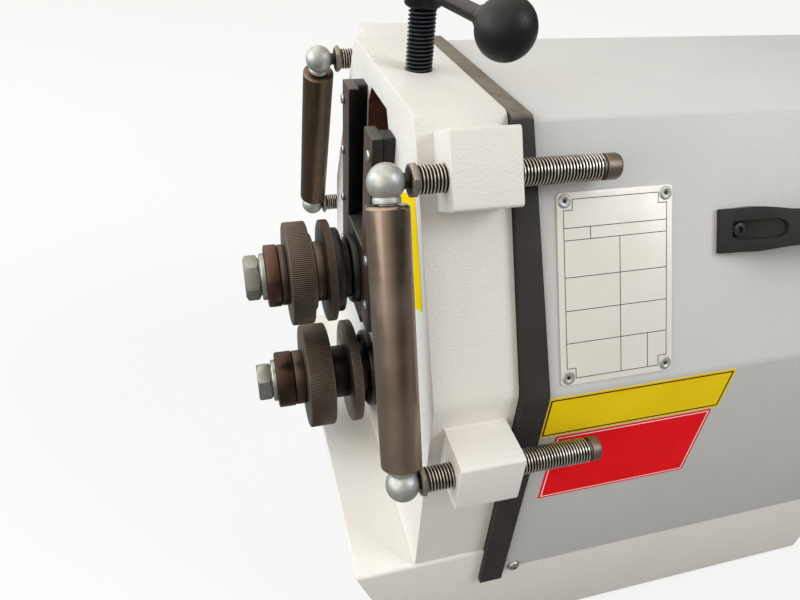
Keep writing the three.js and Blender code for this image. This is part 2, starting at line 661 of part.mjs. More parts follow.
// Cover: folded sheet, rubber edge strip, back panel with its cable gland, nameplate and handles
function makeCover() {
  const stripFront = front + head.depth + seat;
  const stripBack = front + head.depth + strip.width + seat;
  const coverFront = stripFront + strip.nose + seat;
  const coverFoot = baseTop - cover.lap;
  const line = coverLine(coverFoot);
  place('cover', prismY(band(line, -cover.sheet, 0), coverFront, back), 'grey');

  const stripLine = coverLine(coverFoot - strip.hang);
  const stripShape = band(stripLine, -cover.sheet - strip.inner, strip.proud);
  const stripBand = solid(prismY(stripShape, stripFront, stripBack));
  const slot = prismY(band(coverLine(coverFoot - seat), -cover.sheet - seat, seat),
    coverFront - seat, stripBack + overrun);
  const baseHalf = base.halfWidth + seat;
  const baseRoom = prismY(rectangle(-baseHalf, baseHalf, -overrun, baseTop + seat),
    stripFront - overrun, stripBack + overrun);
  place('edge_strip', geometryOf(cut(stripBand, slot, baseRoom)), 'rubber');

  const panelLine = offsetLine(coverLine(baseTop + seat), -cover.sheet - seat);
  const panelBack = back - panel.inset;
  const panelFront = panelBack - panel.sheet;
  const slots = Array.from({ length: panel.slots }, (_, k) => {
    const z = machineHeight - panel.slotDrop + k * panel.slotPitch;
    const slot = rectangle(-panel.slotLength / 2, panel.slotLength / 2, z, z + panel.slotHeight);
    return prismY(slot, panelFront - overrun, panelBack + overrun);
  });
  const glandHeight = baseTop + gland.above;
  const glandHole = rodY(gland.radius + seat, panelFront - overrun, panelBack + overrun)
    .translate(gland.x, 0, glandHeight);
  const sheet = cut(solid(prismY(outline(panelLine), panelFront, panelBack)), glandHole, ...slots);
  place('back_panel', geometryOf(sheet), 'grey');

  const flangeFront = panelBack + seat;
  const flangeBack = flangeFront + gland.flange;
  const inside = panelFront - gland.inside;
  const glandProfile = [[gland.bore, inside], [gland.radius, inside], [gland.radius, flangeFront],
    [gland.flangeRadius, flangeFront], [gland.flangeRadius, flangeBack], [gland.radius, flangeBack],
    [gland.radius, flangeBack + gland.tail], [gland.bore, flangeBack + gland.tail], [gland.bore, inside]];
  place('cable_gland', turned(glandProfile, smallSteps), 'black', gland.x, 0, glandHeight);

  const [slopeTop, slopeFoot] = line.slice(3);
  const slopeLength = Math.hypot(slopeFoot[0] - slopeTop[0], slopeFoot[1] - slopeTop[1]);
  const [tagHalf, tagRise] = [plate.width / 2, plate.height / 2];
  const tagShape = rectangle(-tagHalf, tagHalf, -tagRise, tagRise, plate.corner);
  const tagGeometry = new THREE.ExtrudeGeometry(tagShape, {
    depth: plate.thick, bevelEnabled: false, curveSegments: cornerSteps,
  }).rotateX(-Math.PI / 2);
  place('nameplate', onCoverSlope(tagGeometry, 1, front + plate.start + plate.width / 2,
    slopeLength - plate.foot - plate.height / 2, seat), 'zinc');

  for (const { name, sign } of sides) {
    place(`${name}_handle`, onCoverSlope(handleGeometry(), sign,
      front + handle.start + handle.length / 2, handle.down, seat), 'black');
  }
}

/** Bow handle: flat end pads that sweep up to a raised grip. */
function handleGeometry() {
  const half = handle.length / 2;
  const topShares = [[1, 0], [1, 0.28], [0.72, 0.4], [0.5, 0.72], [0.3, 0.93], [0.12, 1]];
  const gapShares = [[0, 1], [0.55, 1], [0.86, 0.62], [1, 0]];
  const gapTop = handle.rise - handle.grip;
  const outer = topShares.map(([u, v]) => [u * half, v * handle.rise]);
  const inner = gapShares.map(([u, v]) => [u * handle.gapHalf, v * gapTop]);
  const mirror = (points) => points.map(([u, v]) => [-u, v]).reverse();
  const shape = outline([...outer, ...mirror(outer), ...mirror(inner), ...inner.slice(1)]);
  return new THREE.ExtrudeGeometry(shape, {
    depth: handle.width, bevelEnabled: false, curveSegments: cornerSteps,
  }).translate(0, 0, -handle.width / 2);
}

// Guide rollers: on each side a leaning roller between two ball ends on threaded rods
function makeRollers() {
  const ballY = front - ball.front;
  const span = upperRodAt.distanceTo(lowerRodAt);
  const lean = Math.atan2(lowerRodAt.x - upperRodAt.x, upperRodAt.y - lowerRodAt.y);
  for (const { name, sign } of sides) {
    const ends = [['upper', upperRod, upperRodAt, 1], ['lower', lowerRod, lowerRodAt, -1]];
    for (const [level, set, at, up] of ends) {
      place(`${name}_${level}_rod`, rodGeometry(set), 'dark', sign * at.x, front, at.y);
      const sphere = solid(new THREE.SphereGeometry(ball.radius, smallSteps, smallSteps / 2));
      const pinEnd = roller.gap + roller.pinDepth;
      const pin = rodY(roller.pin, 0, pinEnd).rotateX(-Math.PI / 2).scale(1, 1, up > 0 ? 1 : -1);
      pin.rotateY(-sign * lean);
      const socket = rodY(rod.neck + running, ball.radius - rod.neckDepth, ball.radius + overrun);
      place(`${name}_${level}_ball`, geometryOf(cut(joined(sphere, pin), socket)), 'zinc',
        sign * at.x, ballY, at.y);
    }
    const tube = ringY(roller.pin + running, roller.radius, roller.gap, span - roller.gap,
      smallSteps, roller.bevel);
    const mesh = place(`${name}_guide_roller`, tube, 'burnished', sign * upperRodAt.x, ballY, upperRodAt.y);
    mesh.rotation.set(-Math.PI / 2, 0, 0);
    mesh.rotation.order = 'YXZ';
    mesh.rotation.y = -sign * lean;
  }
}

/** Threaded rod with its spanner hexagon and the neck that turns in the ball. */
function rodGeometry({ hexFront, hex, threadEnd, end }) {
  const hexBack = hex - hexFront;
  const neckFront = -ball.front + ball.radius - rod.neckDepth + seat;
  const bar = turned([[0, neckFront], [rod.neck, neckFront], [rod.neck, -hexFront],
    [rod.radius, -hexFront], [rod.radius, threadEnd], [rod.endRadius, threadEnd],
    [rod.endRadius, end], [0, end]], smallSteps);
  return geometryOf(joined(solid(bar), hexY(rod.across, -hexFront, hexBack)));
}

makeBase();
makeHead();
makeGuides();
makeSlide();
makePress();
makeRolls();
makeDrive();
makeCover();
makeRollers();

export default machine;
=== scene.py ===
"""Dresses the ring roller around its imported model: cast head, press screw, rolls, guide rollers and cover.

Blender's units are metres. Sizes here are written in millimetres, in the model's own frame:
X to the near side, Y to the back, Z up, with the floor at zero.
"""

from __future__ import annotations

import json
import logging
import math
from collections.abc import Iterator, Sequence
from contextlib import contextmanager
from dataclasses import dataclass
from enum import Enum
from typing import Any, ClassVar

import bpy
from mathutils import Matrix, Vector

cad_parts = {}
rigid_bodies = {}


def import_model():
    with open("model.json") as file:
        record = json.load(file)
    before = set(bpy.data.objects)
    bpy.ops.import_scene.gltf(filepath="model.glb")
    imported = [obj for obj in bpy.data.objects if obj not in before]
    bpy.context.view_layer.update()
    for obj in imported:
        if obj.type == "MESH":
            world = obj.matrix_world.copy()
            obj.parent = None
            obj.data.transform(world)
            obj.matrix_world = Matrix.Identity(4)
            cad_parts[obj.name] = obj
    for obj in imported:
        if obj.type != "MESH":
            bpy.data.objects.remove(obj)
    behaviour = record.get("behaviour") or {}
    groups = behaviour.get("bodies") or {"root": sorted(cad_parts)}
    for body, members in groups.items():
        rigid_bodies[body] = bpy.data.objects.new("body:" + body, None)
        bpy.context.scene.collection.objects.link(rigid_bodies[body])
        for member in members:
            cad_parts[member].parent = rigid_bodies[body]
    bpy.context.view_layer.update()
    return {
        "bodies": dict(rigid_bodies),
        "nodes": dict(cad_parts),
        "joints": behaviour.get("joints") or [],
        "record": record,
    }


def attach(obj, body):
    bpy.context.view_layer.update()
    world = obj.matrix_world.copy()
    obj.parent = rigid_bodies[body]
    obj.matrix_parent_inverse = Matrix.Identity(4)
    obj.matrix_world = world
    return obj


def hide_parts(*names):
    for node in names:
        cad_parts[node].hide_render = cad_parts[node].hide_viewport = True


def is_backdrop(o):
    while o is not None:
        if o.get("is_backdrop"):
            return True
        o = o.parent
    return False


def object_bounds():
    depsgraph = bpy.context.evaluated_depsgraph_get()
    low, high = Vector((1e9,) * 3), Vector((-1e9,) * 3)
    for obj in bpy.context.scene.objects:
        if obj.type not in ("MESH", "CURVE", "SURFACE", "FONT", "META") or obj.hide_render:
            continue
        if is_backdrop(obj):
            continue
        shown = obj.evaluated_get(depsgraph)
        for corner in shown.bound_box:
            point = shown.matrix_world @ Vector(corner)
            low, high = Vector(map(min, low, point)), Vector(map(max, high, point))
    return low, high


log = logging.getLogger("ring_roller")

MM = 0.001
HAIR = 0.05  # how far a printed field stands off what carries it
FILM = 0.25  # how thick a printed field is
SINK = 0.02  # how far a field or screw is set into what carries it
LIFT = 0.3  # how far the nameplate and the handles stand off the slope
UPPER_AXIS = 295  # height of the upper roll's axis
LOWER_AXIS = 185.6  # height of the lower roll's axis
THREAD_STEPS = (0.0, 0.2, 0.5, 0.7)  # shares of the pitch: crest over the first two, root over the last two
THREAD_DEPTH = 0.55  # a thread's depth against its pitch
TURNED_END = 0.475  # radius of a hexagon's turned end against its width across flats
Point = tuple[float, float]
Place = tuple[float, float, float]
FLAT = Matrix(((1, 0, 0, 0), (0, 0, 1, 0), (0, -1, 0, 0), (0, 0, 0, 1)))  # lays a drawing on its carrier


class Side(Enum):
    """The two sides of the machine, by the sign of X."""

    NEAR = 1
    FAR = -1

    @property
    def word(self) -> str:
        """The side's word in the names of nodes and pieces."""
        return self.name.lower()


class Ends(Enum):
    """How a turned piece is closed."""

    CAPPED = "a flat face at each end"
    RING = "the profile comes back to its start"


class Join(Enum):
    """What a boolean does with its cutter."""

    CUT = "DIFFERENCE"
    KEEP_INSIDE = "INTERSECT"


def pick(piece: bpy.types.Object) -> None:
    """Selects one object alone and makes it active.

    Args:
        piece: The object that the next operators act on.
    """
    bpy.ops.object.select_all(action="DESELECT")
    piece.select_set(True)
    bpy.context.view_layer.objects.active = piece


@contextmanager
def editing(piece: bpy.types.Object) -> Iterator[None]:
    """Opens a piece in edit mode with all of it selected, and closes it again.

    Args:
        piece: The object to edit.
    """
    pick(piece)
    bpy.ops.object.mode_set(mode="EDIT")
    bpy.ops.mesh.select_mode(type="VERT")
    bpy.ops.mesh.select_all(action="SELECT")
    yield
    bpy.ops.object.mode_set(mode="OBJECT")


def named(name: str) -> bpy.types.Object:
    """Names the object that a primitive has just added.

    Args:
        name: Its name, and its mesh's.

    Returns:
        The object.
    """
    piece = bpy.context.active_object
    piece.name = name
    piece.data.name = name
    return piece


def apply_modifier(piece: bpy.types.Object, kind: str, **settings: Any) -> None:
    """Adds a modifier with its settings and applies it.

    Args:
        piece: The object that it shapes.
        kind: Blender's type of the modifier.
        **settings: Its fields and their values.
    """
    pick(piece)
    added = piece.modifiers.new(kind.lower(), kind)
    for field, value in settings.items():
        setattr(added, field, value)
    bpy.ops.object.modifier_apply(modifier=added.name)


def soften(piece: bpy.types.Object, width: float, segments: int = 2, angle: float = 30, smooth: float = 35) -> None:
    """Rounds the sharp edges and shades the rest smooth.

    Args:
        piece: The object to round.
        width: Width of the rounding in millimetres, or 0 for none.
        segments: Faces across the rounding.
        angle: Edges sharper than this many degrees are rounded.
        smooth: Edges flatter than this many degrees are shaded smooth.
    """
    if width > 0:
        apply_modifier(piece, "BEVEL", width=width * MM, segments=segments, limit_method="ANGLE",
                       angle_limit=math.radians(angle))
    pick(piece)
    bpy.ops.object.shade_smooth_by_angle(angle=math.radians(smooth))


def combine(piece: bpy.types.Object, cutter: bpy.types.Object, join: Join) -> None:
    """Cuts a piece with another, which is then thrown away.

    Args:
        piece: The object that stays.
        cutter: The object that cuts it.
        join: Whether the cutter's room is taken out or kept.
    """
    apply_modifier(piece, "BOOLEAN", object=cutter, operation=join.value, solver="EXACT")
    mesh = cutter.data
    bpy.data.objects.remove(cutter)
    bpy.data.meshes.remove(mesh)


@dataclass(frozen=True)
class Axis:
    """A line that pieces are turned or drawn on: where it starts and where it points."""

    at: Place
    along: Place = (0, 1, 0)

    @classmethod
    def of(cls, place: Matrix) -> Axis:
        """The line that a transform's Z axis becomes."""
        return cls(tuple(place.translation / MM), tuple(place.to_3x3() @ Vector((0, 0, 1))))

    def matrix(self) -> Matrix:
        """The transform from Z at the origin to this line."""
        turn = Vector(self.along).to_track_quat("Z", "Y").to_matrix().to_4x4()
        return Matrix.Translation(Vector(self.at) * MM) @ turn


def turned(name: str, axis: Axis, profile: Sequence[Point], sides: int = 96, ends: Ends = Ends.CAPPED,
           knurl: Point | None = None) -> bpy.types.Object:
    """Turns a profile round an axis by extruding and resizing a circle.

    Args:
        name: The piece's name.
        axis: The line that it is turned on.
        profile: Radius and distance along the axis, one after the other.
        sides: Faces round the axis.
        ends: How it is closed.
        knurl: Radius outside which every second line of points is sunk, and how deep.

    Returns:
        The piece in its place.
    """
    radius, at = profile[0]
    bpy.ops.mesh.primitive_circle_add(vertices=sides, radius=radius * MM, fill_type="NOTHING", location=(0, 0, 0))
    piece = named(name)
    with editing(piece):
        bpy.ops.transform.translate(value=(0, 0, at * MM))
        for wider, further in profile[1:]:
            bpy.ops.mesh.extrude_region_move(TRANSFORM_OT_translate={"value": (0, 0, (further - at) * MM)})
            bpy.ops.transform.resize(value=(wider / radius, wider / radius, 1), center_override=(0, 0, further * MM))
            radius, at = wider, further
        bpy.ops.mesh.select_all(action="SELECT")
        if ends is Ends.RING:
            bpy.ops.mesh.remove_doubles(threshold=MM / 1000)
        else:
            bpy.ops.mesh.fill_holes(sides=0)
        bpy.ops.mesh.normals_make_consistent(inside=False)
    if knurl:
        outside, depth = knurl
        crest = piece.data.attributes.new("crest", "FLOAT", "POINT")
        for value, point in zip(crest.data, piece.data.vertices):
            reach = math.hypot(point.co.x, point.co.y)
            turn = round(math.atan2(point.co.y, point.co.x) / math.tau * sides)
            value.value = 1
            if turn % 2 and reach > outside * MM:
                value.value = 0
                point.co.x *= 1 - depth * MM / reach
                point.co.y *= 1 - depth * MM / reach
    piece.data.transform(axis.matrix())
    return piece


def prism(name: str, outline: Sequence[Point], depth: float, matrix: Matrix) -> bpy.types.Object:
    """Extrudes a flat outline.

    Args:
        name: The piece's name.
        outline: Corners in millimetres, in order.
        depth: How far it goes up the local Z axis.
        matrix: Places the local axes, with its shift in metres.

    Returns:
        The piece in its place.
    """
    bpy.ops.mesh.primitive_circle_add(vertices=len(outline), radius=MM, fill_type="NGON", location=(0, 0, 0))
    piece = named(name)
    for point, (x, y) in zip(piece.data.vertices, outline):
        point.co = (x * MM, y * MM, 0)
    with editing(piece):
        bpy.ops.mesh.extrude_region_move(TRANSFORM_OT_translate={"value": (0, 0, depth * MM)})
        bpy.ops.mesh.select_all(action="SELECT")
        bpy.ops.mesh.normals_make_consistent(inside=False)
    piece.data.transform(matrix)
    if matrix.determinant() < 0:
        piece.data.flip_normals()
    return piece


def threaded(name: str, axis: Axis, radius: float, pitch: float, start: float, end: float,
             sides: int = 32) -> bpy.types.Object:
    """Rolls a grid into a right-hand thread whose rows follow the helix.

    Args:
        name: The piece's name.
        axis: The thread's axis.
        radius: Over the crests.
        pitch: From crest to crest.
        start: Where it starts along the axis.
        end: Where it ends.
        sides: Faces round the axis.

    Returns:
        The thread, with a "crest" value of 1 on its crests and 0 in its roots.
    """
    root = radius - THREAD_DEPTH * pitch
    turns = math.ceil((end - start) / pitch) + 2
    rows = turns * len(THREAD_STEPS)
    bpy.ops.mesh.primitive_grid_add(x_subdivisions=sides, y_subdivisions=rows, size=1, location=(0, 0, 0))
    piece = named(name)
    for point in piece.data.vertices:
        share = point.co.x + 0.5
        turn, row = divmod(round((point.co.y + 0.5) * rows), len(THREAD_STEPS))
        raw = start + (turn + THREAD_STEPS[row] + share - 1) * pitch
        height = min(max(raw, start), end)
        reach = radius if row < 2 else root
        reach = min(reach, root + max(0, min(raw - start, end - raw)))
        angle = math.tau * share
        point.co = (reach * MM * math.cos(angle), reach * MM * math.sin(angle), height * MM)
    with editing(piece):
        bpy.ops.mesh.remove_doubles(threshold=MM / 500)
        bpy.ops.mesh.dissolve_degenerate(threshold=MM / 500)
        bpy.ops.mesh.select_all(action="SELECT")
        bpy.ops.mesh.fill_holes(sides=0)
        bpy.ops.mesh.normals_make_consistent(inside=False)
    crest = piece.data.attributes.new("crest", "FLOAT", "POINT")
    for value, point in zip(crest.data, piece.data.vertices):
        value.value = (math.hypot(point.co.x, point.co.y) / MM - root) / (radius - root)
    piece.data.transform(axis.matrix())
    soften(piece, 0, smooth=50)
    return piece


def six_corners(reach: float, turn: float = 0) -> list[Point]:
    """The corners of a hexagon.

    Args:
        reach: From its middle to a corner.
        turn: How far it is turned, in degrees.

    Returns:
        The six corners, in order.
    """
    angles = [math.radians(turn) + k * math.tau / 6 for k in range(6)]
    return [(reach * math.cos(angle), reach * math.sin(angle)) for angle in angles]


def hexagon(name: str, axis: Axis, across: float, start: float, end: float, turn: float = 0) -> bpy.types.Object:
    """A hexagon with its corners turned off at both ends, as on a bolt head.

    Args:
        name: The piece's name.
        axis: Its axis.
        across: Across its flats.
        start: Where it starts along the axis.
        end: Where it ends.
        turn: How far it is turned round its axis, in degrees.

    Returns:
        The piece in its place.
    """
    corner = across / math.sqrt(3)
    flat = across * TURNED_END
    drop = (corner - flat) * math.tan(math.radians(30))
    points = six_corners(corner, turn)
    piece = prism(name, points, end - start, axis.matrix() @ Matrix.Translation((0, 0, start * MM)))
    cone = turned(name + "_cone", axis, [(flat, start), (corner + 0.1, start + drop), (corner + 0.1, end - drop),
                                         (flat, end)], sides=48)
    combine(piece, cone, Join.KEEP_INSIDE)
    soften(piece, 0.3, angle=25)
    return piece


def socket_screw(name: str, axis: Axis, profile: Sequence[Point], across: float, depth: float) -> bpy.types.Object:
    """A screw head turned to a profile, with a hexagon socket in its front.

    Args:
        name: The piece's name.
        axis: Its axis, pointing out of the head.
        profile: Radius and height of the head, from its seat to its top.
        across: Across the flats of the socket.
        depth: Depth of the socket.

    Returns:
        The head in its place.
    """
    head = turned(name, axis, profile, sides=32)
    corner = across / math.sqrt(3)
    top = profile[-1][1]
    points = six_corners(corner)
    cutter = prism(name + "_socket", points, depth + 1, axis.matrix() @ Matrix.Translation((0, 0, (top - depth) * MM)))
    combine(head, cutter, Join.CUT)
    soften(head, 0, smooth=30)
    return head


def rounded(points: Sequence[Point], radius: float, steps: int = 5) -> list[Point]:
    """Rounds the corners of an outline.

    Args:
        points: The outline's corners, in order.
        radius: How far from each corner the rounding starts.
        steps: Faces in each rounding.

    Returns:
        The new outline.
    """
    line: list[Point] = []
    for i, point in enumerate(points):
        here = Vector(point)
        before, after = Vector(points[i - 1]) - here, Vector(points[(i + 1) % len(points)]) - here
        reach = min(radius, before.length / 2.01, after.length / 2.01)
        start, end = here + before.normalized() * reach, here + after.normalized() * reach
        for k in range(steps + 1):
            share = k / steps
            bend = start * (1 - share) ** 2 + here * 2 * share * (1 - share) + end * share ** 2
            line.append((bend.x, bend.y))
    return line


def rectangle(left: float, right: float, bottom: float, top: float) -> list[Point]:
    """The corners of a rectangle, in order."""
    return [(left, bottom), (right, bottom), (right, top), (left, top)]


def smooth_line(points: Sequence[Point], steps: int = 6) -> list[Point]:
    """A curve through points, for a form that was drawn by a few of them.

    Args:
        points: The points that it passes.
        steps: Short lines between two of them.

    Returns:
        The points of the curve.
    """
    ends = [points[0], *points, points[-1]]
    line: list[Point] = [points[0]]
    for a, b, c, d in zip(ends, ends[1:], ends[2:], ends[3:]):
        for k in range(1, steps + 1):
            t = k / steps
            line.append(tuple(0.5 * (2 * q + (r - p) * t + (2 * p - 5 * q + 4 * r - s) * t * t
                                     + (3 * q - p - 3 * r + s) * t ** 3) for p, q, r, s in zip(a, b, c, d)))
    return line


def linear(colour: str) -> tuple[float, float, float, float]:
    """Turns an sRGB hex colour to Blender's linear one.

    Args:
        colour: Such as "#A0B1C2".

    Returns:
        Red, green, blue and a full alpha.
    """
    parts = [int(colour[i:i + 2], 16) / 255 for i in (1, 3, 5)]
    return (*(c / 12.92 if c <= 0.04045 else ((c + 0.055) / 1.055) ** 2.4 for c in parts), 1.0)


def per_metre(size: float) -> float:
    """The scale of a texture whose features are this many millimetres apart."""
    return 1 / (size * MM)


def add_node(tree: bpy.types.NodeTree, kind: str, sockets: dict[Any, Any] | None = None,
             **settings: Any) -> bpy.types.Node:
    """Adds a node with its settings, values and links.

    Args:
        tree: The material's nodes.
        kind: Blender's type of the node.
        sockets: Input by name or number, and its value or the output that feeds it.
        **settings: The node's own fields.

    Returns:
        The node.
    """
    node = tree.nodes.new(kind)
    for field, value in settings.items():
        setattr(node, field, value)
    for socket, value in (sockets or {}).items():
        if isinstance(value, bpy.types.NodeSocket):
            tree.links.new(value, node.inputs[socket])
        else:
            node.inputs[socket].default_value = value
    return node


@dataclass
class Recipe:
    """A new material with its shader and the place of each point on the machine."""

    name: str

    def __post_init__(self) -> None:
        """Makes the material and finds its nodes."""
        self.material = bpy.data.materials.new(self.name)
        self.material.use_nodes = True
        self.tree = self.material.node_tree
        self.shader = self.tree.nodes["Principled BSDF"]
        self.place = add_node(self.tree, "ShaderNodeTexCoord").outputs["Object"]

    def set(self, **values: Any) -> None:
        """Sets or feeds the shader's sockets, named with _ for a space."""
        for key, value in values.items():
            socket = self.shader.inputs[key.replace("_", " ")]
            if isinstance(value, bpy.types.NodeSocket):
                self.tree.links.new(value, socket)
            else:
                socket.default_value = value

    def noise(self, size: float, detail: float = 3, place: bpy.types.NodeSocket | None = None) -> bpy.types.NodeSocket:
        """Cloudy noise with features of a size in millimetres.

        Args:
            size: Millimetres between features.
            detail: How many finer layers it has.
            place: The coordinate that it reads, or the point itself.

        Returns:
            Its value from 0 to 1.
        """
        sockets = {"Vector": place or self.place, "Scale": per_metre(size), "Detail": detail}
        return add_node(self.tree, "ShaderNodeTexNoise", sockets).outputs["Fac"]

    def span(self, value: bpy.types.NodeSocket, low: float, high: float, start: float = 0.3,
             end: float = 0.7) -> bpy.types.NodeSocket:
        """Spreads a value between two limits.

        Args:
            value: What is spread.
            low: What the start becomes.
            high: What the end becomes.
            start: Value that becomes low.
            end: Value that becomes high.

        Returns:
            The new value.
        """
        sockets = {"Value": value, "From Min": start, "From Max": end, "To Min": low, "To Max": high}
        return add_node(self.tree, "ShaderNodeMapRange", sockets).outputs["Result"]

    def blend(self, share: bpy.types.NodeSocket, first: Any, second: Any) -> bpy.types.NodeSocket:
        """Mixes two colours by a share.

        Args:
            share: 0 for the first and 1 for the second.
            first: A hex colour or an output.
            second: A hex colour or an output.

        Returns:
            The mixed colour.
        """
        a, b = (linear(c) if isinstance(c, str) else c for c in (first, second))
        return add_node(self.tree, "ShaderNodeMix", {0: share, 6: a, 7: b}, data_type="RGBA").outputs[2]

    def math(self, operation: str, *values: Any) -> bpy.types.NodeSocket:
        """One step of arithmetic.

        Args:
            operation: Blender's name of it.
            *values: Its numbers or outputs.

        Returns:
            The result.
        """
        return add_node(self.tree, "ShaderNodeMath", dict(enumerate(values)), operation=operation).outputs[0]

    def plus(self, first: bpy.types.NodeSocket, second: bpy.types.NodeSocket, weight: float) -> bpy.types.NodeSocket:
        """Adds a share of a second value to a first."""
        return self.math("ADD", first, self.math("MULTIPLY", second, weight))

    def mapped(self, **sockets: Any) -> bpy.types.NodeSocket:
        """The place of each point, moved or stretched."""
        return add_node(self.tree, "ShaderNodeMapping", {"Vector": self.place, **sockets}).outputs["Vector"]

    def crest(self) -> bpy.types.NodeSocket:
        """The value that a thread or knurl keeps: 1 on its crests and 0 in its roots."""
        return add_node(self.tree, "ShaderNodeAttribute", attribute_name="crest").outputs["Fac"]

    def roughen(self, by: bpy.types.NodeSocket, middle: float, below: float, above: float) -> None:
        """Lets the roughness wander by a value, this far below and above its middle."""
        self.set(Roughness=self.span(by, middle - below, middle + above))

    def bump(self, height: bpy.types.NodeSocket, depth: float) -> None:
        """Raises the surface by a height from 0 to 1 times a depth in millimetres."""
        sockets = {"Height": height, "Distance": depth * MM, "Strength": 1.0}
        self.set(Normal=add_node(self.tree, "ShaderNodeBump", sockets).outputs["Normal"])

    def round_lines(self, axis: Axis, stretch: float = 1.0) -> bpy.types.NodeSocket:
        """Coordinates that keep their value round an axis, so that noise on them is a lathe's marks.

        Args:
            axis: The axis that the piece was turned on.
            stretch: How fast the marks change round it, against along it.

        Returns:
            Radius, distance along and a slow part round the axis.
        """
        moved = self.mapped(Location=Vector(axis.at) * -MM)
        along = Vector(axis.along).normalized()
        dot = add_node(self.tree, "ShaderNodeVectorMath", {0: moved, 1: along}, operation="DOT_PRODUCT")
        span = add_node(self.tree, "ShaderNodeVectorMath", {0: moved}, operation="LENGTH").outputs["Value"]
        height = dot.outputs["Value"]
        square = self.math("SUBTRACT", self.math("MULTIPLY", span, span), self.math("MULTIPLY", height, height))
        radius = self.math("SQRT", self.math("MAXIMUM", square, 0.0))
        slow = add_node(self.tree, "ShaderNodeSeparateXYZ", {0: moved}).outputs["X"]
        slow = self.math("MULTIPLY", slow, stretch)
        return add_node(self.tree, "ShaderNodeCombineXYZ", {0: radius, 1: height, 2: slow}).outputs[0]


@dataclass(frozen=True)
class TexturedPaint:
    """Thick sprayed enamel: soft dimples that break up the highlight, and faint clouds of tone."""

    name: str
    colour: str
    shade: str
    dimple: float
    depth: float
    roughness: float
    squeeze: Place = (1, 1, 1)

    def material(self) -> bpy.types.Material:
        """Makes the material."""
        recipe = Recipe(self.name)
        clouds = recipe.span(recipe.noise(70, 4), 0, 1)
        recipe.set(Base_Color=recipe.blend(clouds, self.colour, self.shade), Specular_IOR_Level=0.35)
        spread = recipe.mapped(Scale=self.squeeze)
        cells = add_node(recipe.tree, "ShaderNodeTexVoronoi", {
            "Vector": spread, "Scale": per_metre(self.dimple), "Smoothness": 0.9}, feature="SMOOTH_F1")
        grain = recipe.noise(self.dimple * 0.9, 2, spread)
        recipe.bump(recipe.plus(grain, cells.outputs["Distance"], 0.6), self.depth)
        recipe.roughen(grain, self.roughness, 0.06, 0.08)
        return recipe.material


@dataclass(frozen=True)
class TurnedSteel:
    """Steel off a lathe: fine rings round its axis, clouds of brown or grey where it was blacked or oiled, and painted
    shade at the foot of a knurl.
    """

    name: str
    axis: Axis
    colour: str
    shade: str
    roughness: float = 0.34
    line: float = 0.5
    depth: float = 0.012
    stain: float = 14
    metallic: float = 0.8
    groove: str = ""  # colour of the painted shade at the foot of a knurl, or none

    def material(self) -> bpy.types.Material:
        """Makes the material."""
        recipe = Recipe(self.name)
        around = recipe.round_lines(self.axis, 0.02)
        marks = recipe.noise(self.line, 2, around)
        clouds = recipe.noise(self.stain, 5)
        streaks = recipe.noise(self.line * 6, 2, around)
        share = recipe.span(recipe.plus(clouds, streaks, 0.5), 0, 1, 0.5, 1.0)
        colour = recipe.blend(share, self.colour, self.shade)
        # a knurl's roots take a darker colour: painted shade
        if self.groove:
            colour = recipe.blend(recipe.span(recipe.crest(), 0, 1, 0.2, 0.8), self.groove, colour)
        recipe.set(Base_Color=colour, Metallic=self.metallic)
        recipe.roughen(clouds, self.roughness, 0.07, 0.1)
        recipe.bump(marks, self.depth)
        return recipe.material


@dataclass(frozen=True)
class GroundSteel:
    """Flat steel, milled and then blacked or oiled: fine lines one way, worn clouds of tone."""

    name: str
    colour: str
    shade: str
    roughness: float = 0.38
    lines: Place = (1, 1, 12)
    stain: float = 18
    depth: float = 0.012
    metallic: float = 1.0

    def material(self) -> bpy.types.Material:
        """Makes the material."""
        recipe = Recipe(self.name)
        marks = recipe.noise(3.2, 3, recipe.mapped(Scale=self.lines))
        clouds = recipe.noise(self.stain, 5)
        share = recipe.span(recipe.plus(clouds, marks, 0.4), 0, 1, 0.5, 0.9)
        recipe.set(Base_Color=recipe.blend(share, self.colour, self.shade), Metallic=self.metallic)
        recipe.roughen(clouds, self.roughness, 0.06, 0.1)
        recipe.bump(marks, self.depth)
        return recipe.material


@dataclass(frozen=True)
class ThreadSteel:
    """Rolled thread: roots darkened with painted shade, and crests lightened with a painted highlight."""

    name: str
    root: str
    crest: str
    roughness: float = 0.36
    metallic: float = 0.85

    def material(self) -> bpy.types.Material:
        """Makes the material."""
        recipe = Recipe(self.name)
        clouds = recipe.noise(7, 4)
        # the crests' pale colour is a painted highlight, the roots' dark one painted shade
        paler_share = recipe.span(recipe.plus(recipe.crest(), clouds, 0.35), 0, 1, 0.75, 1.25)
        recipe.set(Base_Color=recipe.blend(paler_share, self.root, self.crest), Metallic=self.metallic)
        recipe.roughen(clouds, self.roughness, 0.05, 0.12)
        recipe.bump(recipe.noise(0.7, 2), 0.01)
        return recipe.material


